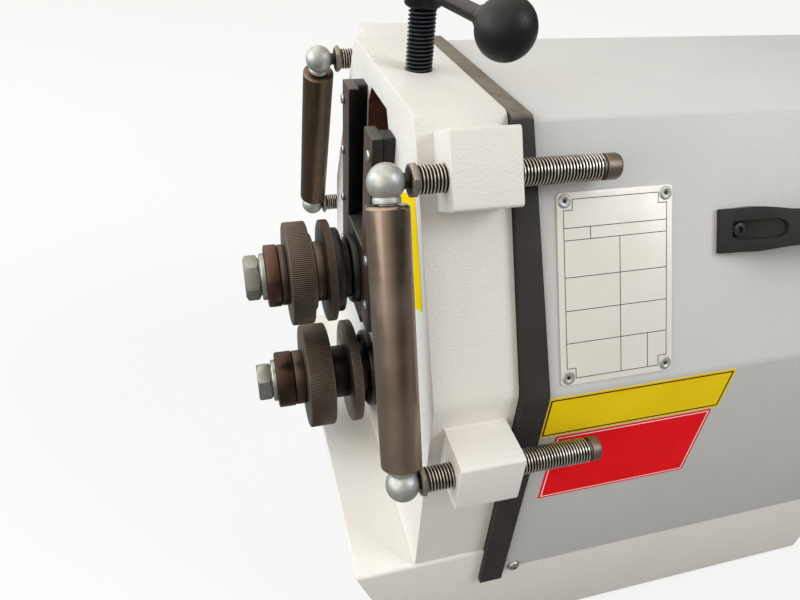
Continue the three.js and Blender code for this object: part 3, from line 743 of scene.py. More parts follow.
@dataclass(frozen=True)
class Moulding:
    """Moulded plastic or rubber: one dull colour with a fine grain from the mould."""

    name: str
    colour: str
    shade: str
    grain: float
    depth: float
    roughness: float
    dust: str = ""  # colour of dust and painted top light on its upper faces, or none

    def material(self) -> bpy.types.Material:
        """Makes the material."""
        recipe = Recipe(self.name)
        clouds = recipe.noise(25, 4)
        grain = recipe.noise(self.grain, 2)
        colour = recipe.blend(recipe.span(clouds, 0, 1), self.colour, self.shade)
        if self.dust:
            # upper faces take a paler colour: partly dust, partly painted light from above
            normal = add_node(recipe.tree, "ShaderNodeNewGeometry").outputs["Normal"]
            upward = add_node(recipe.tree, "ShaderNodeSeparateXYZ", {0: normal}).outputs["Z"]
            paler_share = recipe.math("ADD", upward, recipe.span(recipe.noise(9, 5), -0.12, 0.12))
            colour = recipe.blend(recipe.span(paler_share, 0, 0.8, 0.66, 1.05), colour, self.dust)
        recipe.set(Base_Color=colour, Specular_IOR_Level=0.25)
        recipe.roughen(grain, self.roughness, 0.08, 0.1)
        recipe.bump(grain, self.depth)
        return recipe.material


@dataclass(frozen=True)
class Print:
    """Printed film: flat ink under a thin clear coat, a little uneven."""

    name: str
    colour: str
    shade: str
    roughness: float = 0.35

    def material(self) -> bpy.types.Material:
        """Makes the material."""
        recipe = Recipe(self.name)
        clouds = recipe.span(recipe.noise(30, 3), 0, 1)
        recipe.set(Base_Color=recipe.blend(clouds, self.colour, self.shade), Specular_IOR_Level=0.12)
        recipe.roughen(recipe.noise(4, 2), self.roughness, 0.05, 0.1)
        recipe.bump(recipe.noise(1.2, 2), 0.01)
        return recipe.material


Finish = TexturedPaint | TurnedSteel | GroundSteel | ThreadSteel | Moulding | Print


class Shelf:
    """The shop's finishes, each made once and kept by its name."""

    made: dict[str, bpy.types.Material] = {}

    @classmethod
    def take(cls, finish: Finish) -> bpy.types.Material:
        """Gives the finish's material.

        Args:
            finish: What is wanted.

        Returns:
            Its material, made at the first call.
        """
        if finish.name not in cls.made:
            cls.made[finish.name] = finish.material()
        return cls.made[finish.name]


# Cast parts: enamel sprayed thick over cast iron, which keeps the wrinkled skin of its sand mould
CREAM = TexturedPaint("cream_textured_enamel", "#E2DED9", "#DED9D2", 1.9, 0.3, 0.5, (1, 1, 1.6))
# Sheet parts: powder coat with the orange peel of a thin film
GREY = TexturedPaint("grey_powder_coat", "#C6C5C3", "#C1C0BE", 1.5, 0.16, 0.48)
# Edge trim: extruded rubber, dull with dust in its pores; its upper faces are paler with dust and painted top light
RUBBER = Moulding("black_rubber_trim", "#292523", "#322D2B", 0.9, 0.03, 0.6, "#83796D")
# Handles and knobs: glass-filled nylon and phenolic resin, black with a soft shine
NYLON = Moulding("black_nylon", "#242322", "#2E2C2B", 0.8, 0.02, 0.34)
RESIN = Moulding("black_phenolic_resin", "#151313", "#1C1A1A", 1.2, 0.02, 0.46)
# Guides and slide: milled steel, chemically blacked, with brown oil baked on the front faces
BLACKED = GroundSteel("blacked_milled_steel", "#242221", "#312E2C", 0.44, metallic=0.6)
# The far guide's darker black is painted shade: a shaded copy of the near side's blacked steel
FAR_SIDE_SHADE_BLACK = GroundSteel("oily_black_steel", "#0B0A0A", "#151312", 0.4, metallic=0.5)
# The paler grey on upward faces of the guides and the slide is painted light from above
TOP_LIGHT_GREY = GroundSteel("worn_blacked_steel", "#4A4744", "#5C5854", 0.44, metallic=0.7)
GUIDE_BROWN = GroundSteel("oiled_brown_steel", "#4F4037", "#5F4F45", 0.42, metallic=0.7)
# The dark brown on the walls of the head's window is painted shade inside the opening
WINDOW_SHADE = GroundSteel("oily_window_wall", "#6A3B2C", "#3B231C", 0.5, metallic=0.2)
# Zinc plate: pale grey steel, satin, a little clouded
ZINC = GroundSteel("satin_zinc_plate", "#A9AAA5", "#94958E", 0.4, (1, 1, 1), 9, 0.006, 0.9)
PALE_ZINC = GroundSteel("zinc_plated_ball", "#B4B4AF", "#989893", 0.46, (1, 1, 1), 6, 0.01, 0.7)
MACHINED = GroundSteel("plain_machined_steel", "#8B8987", "#777573", 0.36, metallic=0.9)
ALUMINIUM = GroundSteel("anodised_aluminium_sheet", "#E6E2DB", "#DEDAD2", 0.5, (1, 10, 1), 30, 0.004, 0.15)
BRONZE = GroundSteel("cast_bronze", "#7A5435", "#6B482D", 0.42, metallic=0.9)
ENAMEL = TexturedPaint("grey_machine_enamel", "#5C6166", "#565B60", 3.0, 0.05, 0.5)
# Threads: painted shade in the roots and a painted highlight on the crests
ROD_THREAD = ThreadSteel("rolled_rod_thread", "#3A302A", "#F0E8DE", 0.28)
SCREW_THREAD = ThreadSteel("blacked_screw_thread", "#121214", "#565862", 0.34)
# Printed fields: inked vinyl film, dull
YELLOW = Print("yellow_film", "#F2D008", "#ECC904", 0.5)
RED = Print("red_film", "#EE0517", "#E60012", 0.5)
BLACK_INK = Print("black_ink", "#1C1C1E", "#242426", 0.5)
WHITE_INK = Print("white_ink", "#EDEDEB", "#E6E6E4", 0.5)


def dress(piece: bpy.types.Object, finish: Finish, body: str, slot: str, *stands_for: str) -> bpy.types.Object:
    """Gives a piece its finish and its place in the model.

    Args:
        piece: The piece, in its place.
        finish: What covers it.
        body: The moving body that carries it.
        slot: The record's material slot, not used.
        *stands_for: The solids that it replaces.

    Returns:
        The piece.
    """
    piece.data.materials.clear()
    piece.data.materials.append(Shelf.take(finish))
    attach(piece, body)
    if stands_for:
        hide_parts(*stands_for)
    log.info("%s: %s on %s", piece.name, finish.name, body)
    return piece


def copy_of(frame: dict[str, Any], node: str, name: str) -> bpy.types.Object:
    """Copies a solid's mesh, with its corners merged and its flat faces joined.

    Args:
        frame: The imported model.
        node: The solid's name.
        name: The copy's name.

    Returns:
        The copy, ready for rounding.
    """
    piece = bpy.data.objects.new(name, frame["nodes"][node].data.copy())
    bpy.context.scene.collection.objects.link(piece)
    piece.data.name = name
    pick(piece)
    bpy.ops.mesh.customdata_custom_splitnormals_clear()
    with editing(piece):
        bpy.ops.mesh.remove_doubles(threshold=MM / 200)
        bpy.ops.mesh.dissolve_limited(angle_limit=math.radians(1))
    return piece


def covered_copy(frame: dict[str, Any], node: str, name: str, finish: Finish, body: str, slot: str, width: float,
                 segments: int, **softening: float) -> bpy.types.Object:
    """Copies a solid, rounds it and puts it in the solid's place.

    Args:
        frame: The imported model.
        node: The solid's name.
        name: The copy's name.
        finish: What covers it.
        body: The moving body that carries it.
        slot: The record's material slot.
        width: Width of its rounded edges.
        segments: Faces across them.
        **softening: Further values for soften.

    Returns:
        The copy.
    """
    piece = copy_of(frame, node, name)
    soften(piece, width, segments, **softening)
    return dress(piece, finish, body, slot, node)


def lathe(name: str, axis: Axis, profile: Sequence[Point], finish: Finish, body: str, slot: str, *stands_for: str,
          sides: int = 96, ends: Ends = Ends.CAPPED, smooth: float = 35) -> None:
    """Turns a piece, shades it smooth and puts it in its place.

    Args:
        name: The piece's name.
        axis: The line that it is turned on.
        profile: Radius and distance along the axis, one after the other.
        finish: What covers it.
        body: The moving body that carries it.
        slot: The record's material slot.
        *stands_for: The solids that it replaces.
        sides: Faces round the axis.
        ends: How it is closed.
        smooth: Edges flatter than this many degrees are shaded smooth.
    """
    piece = turned(name, axis, profile, sides, ends)
    soften(piece, 0, smooth=smooth)
    dress(piece, finish, body, slot, *stands_for)


def cap_profile(radius: float, bore: float, back: float, front: float) -> list[Point]:
    """The section of a cap round a shaft, rounded at its front rim.

    Args:
        radius: Its outer radius.
        bore: Its bore's radius.
        back: Its rear face along Y.
        front: Its front face along Y.

    Returns:
        The closed section.
    """
    return [(bore, back), (radius - 0.3, back), (radius, back - 0.3), (radius, front + 1.4),
            (radius - 0.5, front + 0.5), (radius - 1.4, front), (bore + 0.8, front), (bore, front + 0.8), (bore, back)]


def face_finish(piece: bpy.types.Object, finish: Finish, low: Place, high: Place, normal: Place,
                least: float, most: float = 1.01) -> None:
    """Gives a second finish to the faces that look one way within a box.

    Args:
        piece: The piece, already with its first finish.
        finish: The second one.
        low: The box's lowest corner in millimetres.
        high: Its highest corner.
        normal: The way that is compared with each face's normal.
        least: Least cosine between the two.
        most: Greatest cosine between the two.
    """
    piece.data.materials.append(Shelf.take(finish))
    number = len(piece.data.materials) - 1
    for face in piece.data.polygons:
        middle = face.center / MM
        inside = all(a < value < b for a, value, b in zip(low, middle, high))
        if inside and least <= face.normal.dot(Vector(normal)) <= most:
            face.material_index = number


@dataclass(frozen=True)
class Rounding:
    """How wide the edges inside a box are rounded, in millimetres. The box holds for both sides of the machine."""

    low: Place
    high: Place
    width: float

    def holds(self, point: Vector) -> bool:
        """Whether a point in millimetres lies inside the box, with its X taken without a sign."""
        place = (abs(point.x), point.y, point.z)
        return all(a <= value <= b for a, value, b in zip(self.low, place, self.high))


def round_edges(piece: bpy.types.Object, width: float, special: Sequence[Rounding], segments: int,
                along: Place | None = None, folds: Point = (30, 180)) -> None:
    """Rounds each sharp edge by its own width in one bevel, so that the widths meet cleanly at the corners.

    Args:
        piece: The piece to round.
        width: Width of the edges that no special rounding holds.
        special: Roundings of their own, the first that holds both ends of an edge first.
        segments: Faces across each rounding.
        along: Only edges that run this way are rounded.
        folds: Least and greatest angle of a fold that is rounded, in degrees.
    """
    mesh = piece.data
    widest = max([width, *(rounding.width for rounding in special)])
    weights = mesh.attributes.new("bevel_weight_edge", "FLOAT", "EDGE")
    normals: dict[int, list[Vector]] = {}
    for face in mesh.polygons:
        for loop in face.loop_indices:
            normals.setdefault(mesh.loops[loop].edge_index, []).append(face.normal)
    for edge in mesh.edges:
        start, end = (mesh.vertices[i].co / MM for i in edge.vertices)
        faces = normals.get(edge.index, [])
        if len(faces) != 2 or not folds[0] < math.degrees(faces[0].angle(faces[1], 0)) < folds[1]:
            continue
        if along and abs((end - start).normalized().dot(Vector(along))) < 0.99:
            continue
        own = next((r.width for r in special if r.holds(start) and r.holds(end)), width)
        weights.data[edge.index].value = own / widest
    apply_modifier(piece, "BEVEL", width=widest * MM, segments=segments, limit_method="WEIGHT")


@dataclass
class Castings:
    """The head and the base, cream enamel over cast iron."""

    edge: float = 3
    head_roundings: tuple[Rounding, ...] = (
        Rounding((82.1, -202, 410), (85, -150, 460), 1),  # over the upper boss, clear of its root
        Rounding((103, -200, 415), (121, -158, 432.5), 0.6),  # bore of the upper rod
        Rounding((172.5, -202, 249), (190, -159, 266.5), 0.6),  # bore of the lower rod
        Rounding((86, -200, 438.5), (88, -158, 440), 5),  # top root of the upper boss
        Rounding((106, -200, 399), (108, -158, 401), 9),  # its lower root
        Rounding((86, -200, 399), (108, -199, 440), 4.5),  # its front root
        Rounding((86, -159, 399), (108, -158, 440), 1),  # its rear root
        Rounding((160.5, -202, 276.5), (161.5, -159, 277.5), 12),  # top root of the lower boss
        Rounding((160.5, -202, 238.5), (161.5, -159, 239.5), 7),  # its lower root
        Rounding((160.5, -202, 238), (161.5, -201, 278), 3.5),  # its front root
        Rounding((160.5, -161, 238), (161.5, -159, 278), 2),  # its rear root
        Rounding((81, -211, 447), (83, -150, 449), 6),  # top corner of the head
        Rounding((160.5, -211, 295), (161.5, -150, 297), 7),  # its shoulder
        Rounding((0, -210.5, 120), (162, -209.5, 450), 4),  # its front outline
    )
    label_start: float = 42
    label_length: float = 71
    label_inset: float = 8.6
    label_width: float = 34
    label_corner: float = 4
    window: tuple[Place, Place] = ((-31.6, -208, 230), (31.6, -156, 431))
    slope_top: Point = (82, 448)
    slope_foot: Point = (161, 296)
    front: float = -210

    def build(self, frame: dict[str, Any]) -> None:
        """Builds the two castings and the plain field on the head's front.

        Args:
            frame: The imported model.
        """
        head = copy_of(frame, "head_casting", "cast_head")
        round_edges(head, self.edge, self.head_roundings, 4)
        soften(head, 0, smooth=40)
        dress(head, CREAM, "frame", "cream_paint", "head_casting")
        # the window's walls take a dark brown, as painted shade inside the opening
        face_finish(head, WINDOW_SHADE, *self.window, (0, 1, 0), -0.2, 0.2)
        covered_copy(frame, "base_casting", "cast_base", CREAM, "frame", "cream_paint", self.edge, 4, smooth=40)
        self.build_label()

    def build_label(self) -> None:
        """Lays the yellow field behind the near guide roller, along the head's slope."""
        top, foot = Vector(self.slope_top), Vector(self.slope_foot)
        down = (foot - top).normalized()
        inward = Vector((down.y, -down.x))
        start = top + down * self.label_start + inward * self.label_inset
        corners = [start, start + down * self.label_length,
                   start + down * self.label_length + inward * self.label_width, start + inward * self.label_width]
        stand = Matrix(((1, 0, 0, 0), (0, 0, -1, (self.front + SINK) * MM), (0, 1, 0, 0), (0, 0, 0, 1)))
        field = prism("front_yellow_field", rounded([(c.x, c.y) for c in corners], self.label_corner), FILM, stand)
        dress(field, YELLOW, "frame", "cream_paint")


@dataclass
class Guides:
    """Spacers and retaining plates on both sides of the window, with their cap screws."""

    screw_x: float = 43
    screw_drops: tuple[float, ...] = (13, 52, 92, 131)
    tops: tuple[float, float] = (421, 428)
    plate_front: float = -225.6
    room: tuple[Place, Place] = ((-60, -240, 200), (60, -200, 500))
    head_radius: float = 3.7
    head_height: float = 1.7

    def build(self, frame: dict[str, Any]) -> None:
        """Builds the guides of both sides.

        Args:
            frame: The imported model.
        """
        for side in Side:
            # the far side takes a darker copy of the black, as painted shade
            black = BLACKED if side is Side.NEAR else FAR_SIDE_SHADE_BLACK
            covered_copy(frame, f"{side.word}_guide_spacer", f"{side.word}_guide_packing", black, "frame",
                         "black_steel", 0.8, 3)
            plate = covered_copy(frame, f"{side.word}_guide_plate", f"{side.word}_guide_bar", black, "frame",
                                 "burnished_steel", 1.2, 3)
            face_finish(plate, GUIDE_BROWN, *self.room, (0, -1, 0), 0.7)
            # upward faces take a paler grey, as painted light from above
            face_finish(plate, TOP_LIGHT_GREY, *self.room, (0, 0, 1), 0.7)
            top = self.tops[0] if side is Side.NEAR else self.tops[1]
            for number, drop in enumerate(self.screw_drops, 1):
                axis = Axis((side.value * self.screw_x, self.plate_front, top - drop), (0, -1, 0))
                r, h = self.head_radius, self.head_height
                screw = socket_screw(f"{side.word}_guide_screw_{number}", axis,
                                     [(r - 0.3, -0.2), (r, 0.2), (r, h - 0.6), (r - 0.6, h)], 3, 1.1)
                dress(screw, ZINC, "frame", "zinc_steel")


@dataclass
class Carriage:
    """The slide block with the cap round the upper shaft."""

    room: tuple[Place, Place] = ((-60, -240, 200), (60, -100, 500))
    cap_radius: float = 27.5
    cap_back: float = -225.6
    cap_front: float = -231.0
    bore: float = 15.3

    def build(self, frame: dict[str, Any]) -> None:
        """Builds the slide block and its cap.

        Args:
            frame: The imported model.
        """
        block = covered_copy(frame, "slide_block", "slide_carriage", BLACKED, "carriage", "black_steel", 1.0, 3)
        # the block's upward faces take a paler grey, as painted light from above
        face_finish(block, TOP_LIGHT_GREY, *self.room, (0, 0, 1), 0.7)
        axis = Axis((0, 0, UPPER_AXIS))
        lathe("upper_shaft_cap", axis, cap_profile(self.cap_radius, self.bore, self.cap_back, self.cap_front),
              TurnedSteel("blacked_upper_cap", axis, "#242321", "#33302E", 0.36, 0.8), "carriage", "black_steel",
              "upper_cap", ends=Ends.RING)


@dataclass
class Press:
    """The press screw with its hub, arm and two ball knobs."""

    centre: Point = (0, -183.2)
    radius: float = 9
    pitch: float = 2.5
    foot_bottom: float = 322.7
    foot_top: float = 328.7
    foot_radius: float = 14
    hub_bottom: float = 486
    hub_top: float = 508
    hub_radius: float = 12
    arm_height: float = 497
    arm_turn: float = 7.1
    arm_radius: float = 4.6
    collar_radius: float = 6.5
    collar: float = 12
    knob_radius: float = 16
    reach: float = 100.8

    def build(self, frame: dict[str, Any]) -> None:
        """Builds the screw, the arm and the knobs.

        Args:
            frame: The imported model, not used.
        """
        upright = Axis((*self.centre, 0), (0, 0, 1))
        thread = threaded("press_screw_thread", upright, self.radius, self.pitch, self.foot_top - 1,
                          self.hub_bottom + 1, 40)
        dress(thread, SCREW_THREAD, "press", "black_steel", "press_screw")
        r, wide = self.hub_radius, self.foot_radius
        finish = TurnedSteel("blacked_turned_hub", upright, "#1E1D1D", "#2C2A29", 0.34, 0.7)
        for name, profile in (
                ("press_screw_foot", [(wide - 1, self.foot_bottom), (wide, self.foot_bottom + 1),
                                      (wide, self.foot_top - 1), (wide - 1, self.foot_top)]),
                ("press_screw_hub", [(r - 2.4, self.hub_bottom), (r - 0.6, self.hub_bottom + 1.2),
                                     (r, self.hub_bottom + 2.2), (r, self.hub_top - 2.2),
                                     (r - 0.6, self.hub_top - 1.1), (r - 2.4, self.hub_top)])):
            lathe(name, upright, profile, finish, "press", "black_steel", sides=64)
        self.build_arm()

    def build_arm(self) -> None:
        """Builds the arm through the hub and a knob at each of its ends."""
        turn = math.radians(self.arm_turn)
        along = (math.cos(turn), math.sin(turn), 0.0)
        axis = Axis((*self.centre, self.arm_height), along)
        finish = TurnedSteel("blacked_turned_arm", axis, "#232222", "#33302F", 0.36, 0.6)
        stub = self.reach - self.knob_radius + 2
        half = [(self.arm_radius, stub - self.collar - 2), (self.arm_radius + 0.6, stub - self.collar - 1.4),
                (self.collar_radius - 0.3, stub - self.collar + 1.4), (self.collar_radius, stub - self.collar + 2),
                (self.collar_radius, stub - 2.6), (self.collar_radius - 0.7, stub - 2), (4, stub - 2), (4, stub)]
        lathe("lever_bar", axis, [*[(radius, -at) for radius, at in reversed(half)], *half], finish, "press",
              "black_steel", "lever_arm", sides=48)
        for side in Side:
            outward = tuple(side.value * part for part in along)
            profile = [(5.5, -self.knob_radius + 0.9)]
            for k in range(1, 24):
                angle = math.pi * (0.115 + 0.885 * k / 24)
                profile.append((self.knob_radius * math.sin(angle), -self.knob_radius * math.cos(angle)))
            profile.append((0.6, self.knob_radius * 0.999))
            middle = Vector((*self.centre, self.arm_height)) + Vector(outward) * self.reach
            lathe(f"{side.word}_ball_knob", Axis(tuple(middle), outward), profile, RESIN, "press", "black_plastic",
                  f"{side.word}_knob", sides=64, smooth=40)


@dataclass(frozen=True)
class Roll:
    """One piece on a roll shaft: its steps of radius and length from back to front, and its finish."""

    name: str
    node: str
    steps: tuple[Point, ...]
    colour: str
    shade: str
    slot: str = "burnished_steel"
    round: float = 0.8
    knurled: float = 0
    roughness: float = 0.36


@dataclass
class RollSet:
    """A shaft's shoulder, its rolls, washer and end bolt."""

    word: str
    body: str
    height: float
    shoulder_back: float
    shoulder: float
    rolls: tuple[Roll, ...]
    shaft_back: float
    bolt_turn: float
    seat: float = 0.3
    bore: float = 15.2
    washer_radius: float = 18
    washer: float = 3.4
    across: float = 30
    head: float = 12

    def build(self) -> None:
        """Builds the set from its shoulder forwards."""
        axis = Axis((0, 0, self.height))
        dark = TurnedSteel(f"blacked_{self.word}_shaft", axis, "#211E1D", "#302A28", 0.38, 0.7)
        front = self.shoulder_back - self.shoulder
        lathe(f"{self.word}_shaft_shoulder", axis, [
            (15, self.shaft_back), (15, self.shoulder_back), (22.4, self.shoulder_back),
            (23, self.shoulder_back - 0.6), (23, front + 0.8), (22.2, front), (15, front), (15, front - 60)],
            dark, self.body, "black_steel", f"{self.word}_shaft")
        at = front - self.seat
        for roll in self.rolls:
            at = self.build_roll(roll, axis, at) - self.seat
        self.build_bolt(axis, at)

    def build_roll(self, roll: Roll, axis: Axis, start: float) -> float:
        """Builds one piece and gives where it ends.

        Args:
            roll: What is built.
            axis: The shaft's axis.
            start: Its rear face along Y.

        Returns:
            Its front face along Y.
        """
        rim = max(radius for radius, _ in roll.steps)
        profile: list[Point] = [(self.bore, start)]
        at, soft = start, roll.round
        for radius, length in roll.steps:
            end = at - length
            profile += [(radius - soft, at), (radius - 0.3 * soft, at - 0.3 * soft), (radius, at - soft),
                        (radius, end + soft), (radius - 0.3 * soft, end + 0.3 * soft), (radius - soft, end)]
            at = end
        profile += [(self.bore + 0.6, at), (self.bore, at + 0.6), (self.bore, start)]
        sides = 4 * round(math.tau * rim / roll.knurled / 2) if roll.knurled else 96
        knurl = (rim - 0.2 * soft, 0.4) if roll.knurled else None
        piece = turned(roll.name, axis, profile, sides, Ends.RING, knurl)
        soften(piece, 0, smooth=30)
        # knurled pieces get a painted shade in their roots
        groove = "#2A221D" if roll.knurled else ""
        finish = TurnedSteel(f"{roll.name}_steel", axis, roll.colour, roll.shade, roll.roughness, 0.9, groove=groove)
        dress(piece, finish, self.body, roll.slot, roll.node)
        return at

    def build_bolt(self, axis: Axis, back: float) -> None:
        """Builds the washer and the end bolt.

        Args:
            axis: The shaft's axis.
            back: The washer's rear face along Y.
        """
        r, front = self.washer_radius, back - self.washer
        plated = TurnedSteel(f"zinc_{self.word}_washer", axis, "#A8A9A3", "#95968F", 0.34, 0.7, stain=8)
        lathe(f"{self.word}_end_washer", axis, [
            (10.3, back), (r - 0.3, back), (r, back - 0.3), (r, front + 0.7), (r - 0.7, front), (10.3, front),
            (10.3, back)], plated, self.body, "zinc_steel", f"{self.word}_washer", sides=72, ends=Ends.RING)
        head_back = front - self.seat
        bolt = hexagon(f"{self.word}_end_bolt", axis, self.across, head_back - self.head, head_back - 0.6,
                       self.bolt_turn)
        steel = TurnedSteel(f"zinc_{self.word}_bolt", axis, "#92928C", "#7E7D76", 0.36, 1.1, stain=7)
        dress(bolt, steel, self.body, "zinc_steel", f"{self.word}_bolt")
        lathe(f"{self.word}_bolt_washer_face", axis, [
            (14.1, head_back - 0.9), (14.1, head_back), (10, head_back), (10, head_back + 34)], steel, self.body,
            "zinc_steel", sides=72)


UPPER_ROLLS = (
    Roll("upper_inner_drum", "upper_drum", ((33, 6.9),), "#2B2624", "#37302D", round=0.9),
    Roll("upper_disc", "upper_thin_disc", ((39.8, 6.2), (23.4, 7.2)), "#51463E", "#60544B", round=0.6, knurled=1.5),
    Roll("upper_wheel", "upper_wide_wheel", ((30, 3.3), (40, 17.1)), "#5F534A", "#6C6157", round=1.3, knurled=1.5),
    Roll("upper_ring", "upper_spacer_ring", ((23.5, 5.2),), "#40352F", "#52463E", "black_steel", 0.6),
    Roll("upper_end_collar", "upper_collar", ((24, 10.1),), "#49332A", "#573E33", "bronze", 1.2, roughness=0.32),
)
LOWER_ROLLS = (
    Roll("lower_plain_disc", "lower_disc", ((45, 8.2),), "#5F534A", "#6C6157", round=1.0, knurled=1.5),
    Roll("lower_spacer_sleeve", "lower_sleeve", ((23, 14.4),), "#151212", "#241D1B", "black_steel", 0.5),
    Roll("lower_wheel", "lower_wide_wheel", ((45, 22),), "#5F534A", "#6C6157", round=1.6, knurled=1.5),
    Roll("lower_ring", "lower_spacer_ring", ((23.5, 8.7),), "#40352F", "#52463E", "black_steel", 0.8),
    Roll("lower_end_collar", "lower_collar", ((24, 14.6),), "#32241B", "#422F21", "bronze", 1.2, roughness=0.32),
)


@dataclass
class LowerBearingCap:
    """The dark cap round the driven shaft, screwed to the head's face."""

    height: float = LOWER_AXIS
    radius: float = 34
    back: float = -210.3
    front: float = -216.3
    bore: float = 15.3
    screw_circle: float = 27
    screws: int = 4

    def build(self) -> None:
        """Builds the cap and its screws."""
        axis = Axis((0, 0, self.height))
        lathe("lower_shaft_cap", axis, cap_profile(self.radius, self.bore, self.back, self.front),
              TurnedSteel("blacked_lower_cap", axis, "#242321", "#33302E", 0.34, 0.8), "frame", "black_steel",
              "lower_cap", ends=Ends.RING)
        for number in range(self.screws):
            angle = math.tau * (number + 0.5) / self.screws
            at = (self.screw_circle * math.cos(angle), self.front, self.height + self.screw_circle * math.sin(angle))
            screw = socket_screw(f"lower_cap_screw_{number + 1}", Axis(at, (0, -1, 0)),
                                 [(4.2, -0.2), (4.2, 0.6), (3.4, 1.8), (2.6, 2.3)], 2.5, 1.3)
            dress(screw, BLACKED, "frame", "black_steel")


@dataclass(frozen=True)
class Rod:
    """Lengths of one adjusting rod behind the head's front face."""

    hex_front: float
    hex: float
    thread_end: float
    end: float
    corner: float  # where a corner of its hexagon points, in degrees above level


@dataclass
class GuideRollers:
    """On each side a leaning roller between two ball ends, carried by two threaded rods."""

    upper_at: Point = (111.9, 423.65)
    lower_at: Point = (181.1, 257.6)
    front: float = -210
    ball_y: float = -232.5
    ball: float = 10.5
    roller: float = 12.5
    gap: float = 12
    neck: float = 4
    rod: float = 8
    pitch: float = 2
    across: float = 18
    end_radius: float = 7.8
    # The far roller's darker colours are painted shade: a shaded copy of the near roller's steel
    tube_colours: ClassVar[dict[Side, tuple[str, str]]] = {
        Side.NEAR: ("#89786A", "#948375"), Side.FAR: ("#54453A", "#615143")}
    upper_rod: Rod = Rod(9.8, 3.9, 105.5, 116.8, 27)
    lower_rod: Rod = Rod(12.2, 3.2, 101.4, 109.5, 54)

    def build(self) -> None:
        """Builds both sides."""
        for side in Side:
            ends = {"upper": (self.upper_at, self.upper_rod), "lower": (self.lower_at, self.lower_rod)}
            middles = {word: Vector((side.value * at[0], self.ball_y, at[1])) for word, (at, _) in ends.items()}
            for word, other in (("upper", "lower"), ("lower", "upper")):
                self.build_ball(side, word, middles[word], (middles[other] - middles[word]).normalized())
                self.build_rod(side, word, middles[word], ends[word][1])
            self.build_roller(side, middles["upper"], middles["lower"])

    def build_ball(self, side: Side, word: str, middle: Vector, inward: Vector) -> None:
        """Builds a ball end with its neck ring and pin towards the roller.

        Args:
            side: Which side it is on.
            word: Upper or lower.
            middle: The ball's centre.
            inward: Direction to the roller.
        """
        profile = [(1.2, -self.ball * 0.994)]
        first, last = math.radians(7), math.radians(136)
        for k in range(1, 25):
            angle = first + (last - first) * k / 24
            profile.append((self.ball * math.sin(angle), -self.ball * math.cos(angle)))
        profile += [(7.7, 8.2), (7.9, 8.6), (7.9, 10.6), (7.4, 11.1), (5, 11.1), (5, 26)]
        lathe(f"{side.word}_{word}_ball_end", Axis(tuple(middle), tuple(inward)), profile, PALE_ZINC,
              f"{side.word}_guide", "zinc_steel", f"{side.word}_{word}_ball", sides=64, smooth=30)

    def build_rod(self, side: Side, word: str, middle: Vector, rod: Rod) -> None:
        """Builds a threaded rod with its neck, hexagon and plain end.

        Args:
            side: Which side it is on.
            word: Upper or lower.
            middle: The centre of its ball.
            rod: Its lengths.
        """
        body = f"{side.word}_{word}_adjuster"
        axis = Axis((middle.x, self.front, middle.z))
        name = f"{side.word}_{word}"
        thread = threaded(f"{name}_rod_thread", axis, self.rod, self.pitch, rod.hex - rod.hex_front - 0.5,
                          rod.thread_end, 36)
        dress(thread, ROD_THREAD, body, "black_steel", f"{name}_rod")
        steel = TurnedSteel(f"{name}_rod_steel", axis, "#7C766C", "#948D80", 0.4, 0.8, stain=6)
        turn = side.value * rod.corner if side is Side.NEAR else 180 - rod.corner
        spanner = hexagon(f"{name}_rod_hexagon", axis, self.across, -rod.hex_front, rod.hex - rod.hex_front, -turn)
        dress(spanner, steel, body, "black_steel")
        r, front, end = self.end_radius, -rod.hex_front, rod.thread_end
        neck = [(self.neck + 0.4, middle.y - self.front + 7), (self.neck + 0.4, front - 0.5), (7.4, front - 0.1),
                (7.4, front + 1)]
        lathe(f"{name}_rod_neck", axis, neck, TurnedSteel(f"{name}_neck_steel", axis, "#2A2624", "#3A3532", 0.4),
              body, "black_steel", sides=48)
        tail = [(6.7, end - 1), (6.7, end + 1.2), (r - 0.3, end + 1.2), (r, end + 1.6), (r, rod.end - 2.2),
                (r - 0.7, rod.end - 0.7), (r - 2.4, rod.end)]
        lathe(f"{name}_rod_tail", axis, tail,
              TurnedSteel(f"{name}_tail_steel", axis, "#6A5E52", "#7A6D60", 0.42, 0.9), body, "black_steel", sides=48)

    def build_roller(self, side: Side, upper: Vector, lower: Vector) -> None:
        """Builds the roller between the balls.

        Args:
            side: Which side it is on.
            upper: Centre of the upper ball.
            lower: Centre of the lower ball.
        """
        axis = Axis(tuple(upper), tuple((lower - upper).normalized()))
        start, end, r = self.gap, (lower - upper).length - self.gap, self.roller
        # the far roller takes its darker colours, as painted shade
        steel = TurnedSteel(f"{side.word}_roller_steel", axis, *self.tube_colours[side], 0.27, 0.6, 0.008, 30, 0.97)
        lathe(f"{side.word}_roller_tube", axis, [
            (5.4, start), (r - 1.6, start), (r - 1, start + 0.25), (r, start + 1.5), (r, end - 1.5),
            (r - 1, end - 0.25), (r - 1.6, end), (5.4, end), (5.4, start)], steel, f"{side.word}_roller",
            "burnished_steel", f"{side.word}_guide_roller", sides=72, ends=Ends.RING)


